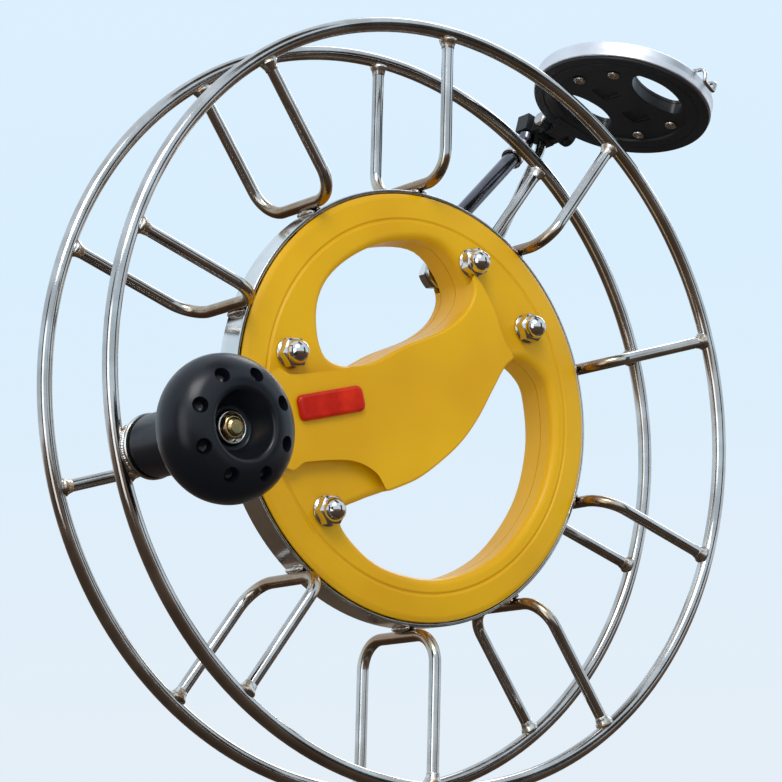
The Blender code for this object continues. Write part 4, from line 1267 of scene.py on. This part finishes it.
# %% Screws with a cross recess
for i, angle in enumerate(GUIDE_SCREW_ANGLES):
    place = DISC @ moved(*polar(GUIDE_SCREW_CIRCLE, angle))
    cut(core, prism("screw_hole", 24, 1.8, -20, 20, place))
    cut(cover, prism("screw_hole", 24, 1.8, -20, 20, place))
    outline = [
        (0.0, low), (1.5, low), (2.3, low + 0.3), (2.5, recess_top - GAP),
        (1.4, recess_top - GAP), (1.4, top - 0.2), (1.2, top), (0.0, top),
    ]
    screw = lathe(f"screw_{i + 1}", eased(outline, 0.2, closed=False), place, 40)
    for quarter_turn in (20 + angle, 110 + angle):
        corners = (-1.3, -0.25, low - 1), (1.3, 0.25, low + 0.55)
        cut(screw, box("cross", *corners, place @ turned(quarter_turn)))
    piece(screw, chrome, f"guide_screw_{i + 1}", smooth=30)
piece(core, black_matt, "guide_core")
piece(cover, black_matt, "guide_cover")

# %% [markdown]
# ## Rim and line keeper
# The rim is turned from aluminium with a slight waist that keeps the line on it. A bent wire on
# the cover keeps the line from jumping off. It is a pipe whose path leaves the rim's edge free.

# %% Bearing ring, rim and keeper
rim_low = flange_high + 0.3
piece(lathe("guide_bearing", eased([
    (barrel + GAP, rim_low), (GUIDE_BORE - GAP, rim_low),
    (GUIDE_BORE - GAP, core_top), (barrel + GAP, core_top),
], 0.2), DISC, 144), bearing_steel, "guide_bearing_ring")
waist = (rim_low + top) / 2
piece(lathe("rim", eased([
    (GUIDE_BORE, rim_low), (GUIDE_RADIUS - 0.5, rim_low), (GUIDE_RADIUS, rim_low + 0.6),
    (GUIDE_RADIUS - 0.25, waist), (GUIDE_RADIUS, top - 0.6), (GUIDE_RADIUS - 0.5, top),
    (GUIDE_BORE, top),
], 0.35), DISC, 160), satin, "guide_rim")

wire_top = top + GAP + 0.8
loop = GUIDE_RADIUS + 3.2
keeper = [
    polar(GUIDE_BORE - 5, 8, wire_top), polar(loop - 1, 10, wire_top),
    polar(loop, 11, wire_top - 1.2), polar(loop, 12, 0.0),
    polar(loop, 23, 0.0), polar(loop, 24, wire_top - 1.2),
    polar(loop - 1, 25, wire_top), polar(GUIDE_BORE - 5, 27, wire_top),
]
piece(pipe("keeper", rounded(keeper, 1.2, 6), 0.8, DISC, 16, ease=0.2), wire_steel, "line_keeper")

# %% [markdown]
# ## Floor and reflections
# Polished metal shows what stands round it, so the surroundings are half of its look. A few dark
# and brown cards that only reflections see give the wires their contrast. The floor is a pale disc
# so wide that its edge is never seen.

# %% Floor and cards


def plain(name, colour, roughness):
    made = Finish(name)
    mottle = made.noise(300, detail=2.0)
    pale = rgb(*colour)
    deep = rgb(*(0.94 * c for c in colour))
    made.put("Base Color", mottle.mix(deep, pale))
    made.put("Roughness", roughness + 0.05 * mottle)
    return made.material


floor_outline = [
    (0.0, FLOOR_TOP - 3), (FLOOR_RADIUS, FLOOR_TOP - 3), (FLOOR_RADIUS, FLOOR_TOP - 1),
    (FLOOR_RADIUS - 1, FLOOR_TOP), (0.0, FLOOR_TOP),
]
floor = lathe("floor", floor_outline, Matrix.Identity(4), 128)
floor.data.materials.append(plain("pale_floor", (0.58, 0.60, 0.62), 0.6))
floor.visible_glossy = False


def aimed(place, at):
    """A frame at a place whose -z looks at a point."""
    look = (Vector(at) - Vector(place)).to_track_quat("-Z", "Y").to_matrix().to_4x4()
    return Matrix.Translation(place) @ look


def card(name, place, width, height, colour):
    """A board seen only in reflections."""
    made = bmesh.new()
    bmesh.ops.create_grid(made, x_segments=1, y_segments=1, size=0.5)
    bmesh.ops.scale(made, vec=(width * 1000, height * 1000, 1), verts=made.verts)
    obj = to_object(name, made, aimed(place, (0, 0, 0)))
    obj.data.materials.append(plain(name + "_paint", colour, 0.8))
    obj.visible_camera = False
    obj.visible_shadow = False
    obj.visible_diffuse = False


card("dark_card_left", (-1.3, -0.2, 0.15), 0.35, 1.2, (0.02, 0.018, 0.016))
card("brown_card_low", (-0.4, -1.2, -0.10), 1.6, 0.10, (0.16, 0.09, 0.045))
card("dark_card_right", (0.9, -1.3, 0.2), 0.5, 1.4, (0.025, 0.022, 0.02))
card("brown_card_top", (0.2, -0.5, 1.4), 0.5, 0.9, (0.10, 0.06, 0.03))

print("on the stage so far:", floor.name, "and four cards")

# %% [markdown]
# ## Light
# A pale dome gives the soft daylight and turns brown below the horizon, as ground does. Large soft
# lamps add the long white streaks. The Standard view keeps the grip as yellow as its own colour,
# where a film-like view would pale it.

# %% Lamps and dome


def lamp(name, place, size, watts, colour):
    made = bpy.data.lights.new(name, "AREA")
    made.shape = "RECTANGLE"
    made.size, made.size_y = size
    made.energy = watts
    made.color = colour
    obj = bpy.data.objects.new(name, made)
    bpy.context.scene.collection.objects.link(obj)
    obj.matrix_world = aimed(place, (0, 0, 0))
    obj.visible_camera = False


lamp("key", (-0.9, -1.3, 1.5), (0.9, 0.9), 20, (1.0, 0.98, 0.95))
lamp("fill", (-1.9, -0.9, 0.1), (1.2, 1.6), 9, (0.95, 0.97, 1.0))
lamp("rim", (1.5, 0.8, 1.3), (0.8, 1.4), 12, (1.0, 1.0, 1.0))

world = bpy.data.worlds.new("pale_dome")
bpy.context.scene.world = world
world.use_nodes = True
sky = Value(world.node_tree)
direction = sky.node("ShaderNodeTexCoord", output=0)
height = sky.node("ShaderNodeSeparateXYZ", None, {"Vector": direction}, output=2)
stops = [(0.0, (0.05, 0.036, 0.026)), (0.36, (0.10, 0.072, 0.052)), (0.475, (0.26, 0.20, 0.16)),
         (0.49, (0.80, 0.86, 0.92)), (0.60, (0.70, 0.86, 0.99)), (1.0, (0.80, 0.90, 1.0))]
dome = sky.node("ShaderNodeValToRGB", {"stops": stops}, {"Fac": height * 0.5 + 0.5})
background = world.node_tree.nodes["Background"]
sky.join(background.inputs["Color"], dome)
background.inputs["Strength"].default_value = 1.0
bpy.context.scene.view_settings.view_transform = "Standard"
print(len(bpy.data.lights), "lamps, and a dome of", len(stops), "colours")

# %% [markdown]
# ## Camera
# A long lens from below and in front of the crank's side keeps both rings almost the same size,
# and shows the grip's face, the drum's edge and the underside of the guide at once.

# %% Camera
eye = bpy.data.cameras.new("camera")
eye.lens = 124.2
eye.sensor_width = 36.0
eye.clip_start = 0.05
eye.clip_end = 20.0
camera = bpy.data.objects.new("camera", eye)
bpy.context.scene.collection.objects.link(camera)
bpy.context.scene.camera = camera
right = Vector((0.7942, -0.6066, -0.0357)).normalized()
back = Vector((-0.604, -0.7818, -0.1546)).normalized()
up = back.cross(right).normalized()
camera.matrix_world = columns(up.cross(back), up, back, (-615.1, -788.4, -149.3))
print("camera", [round(c, 3) for c in camera.location], "lens", eye.lens)
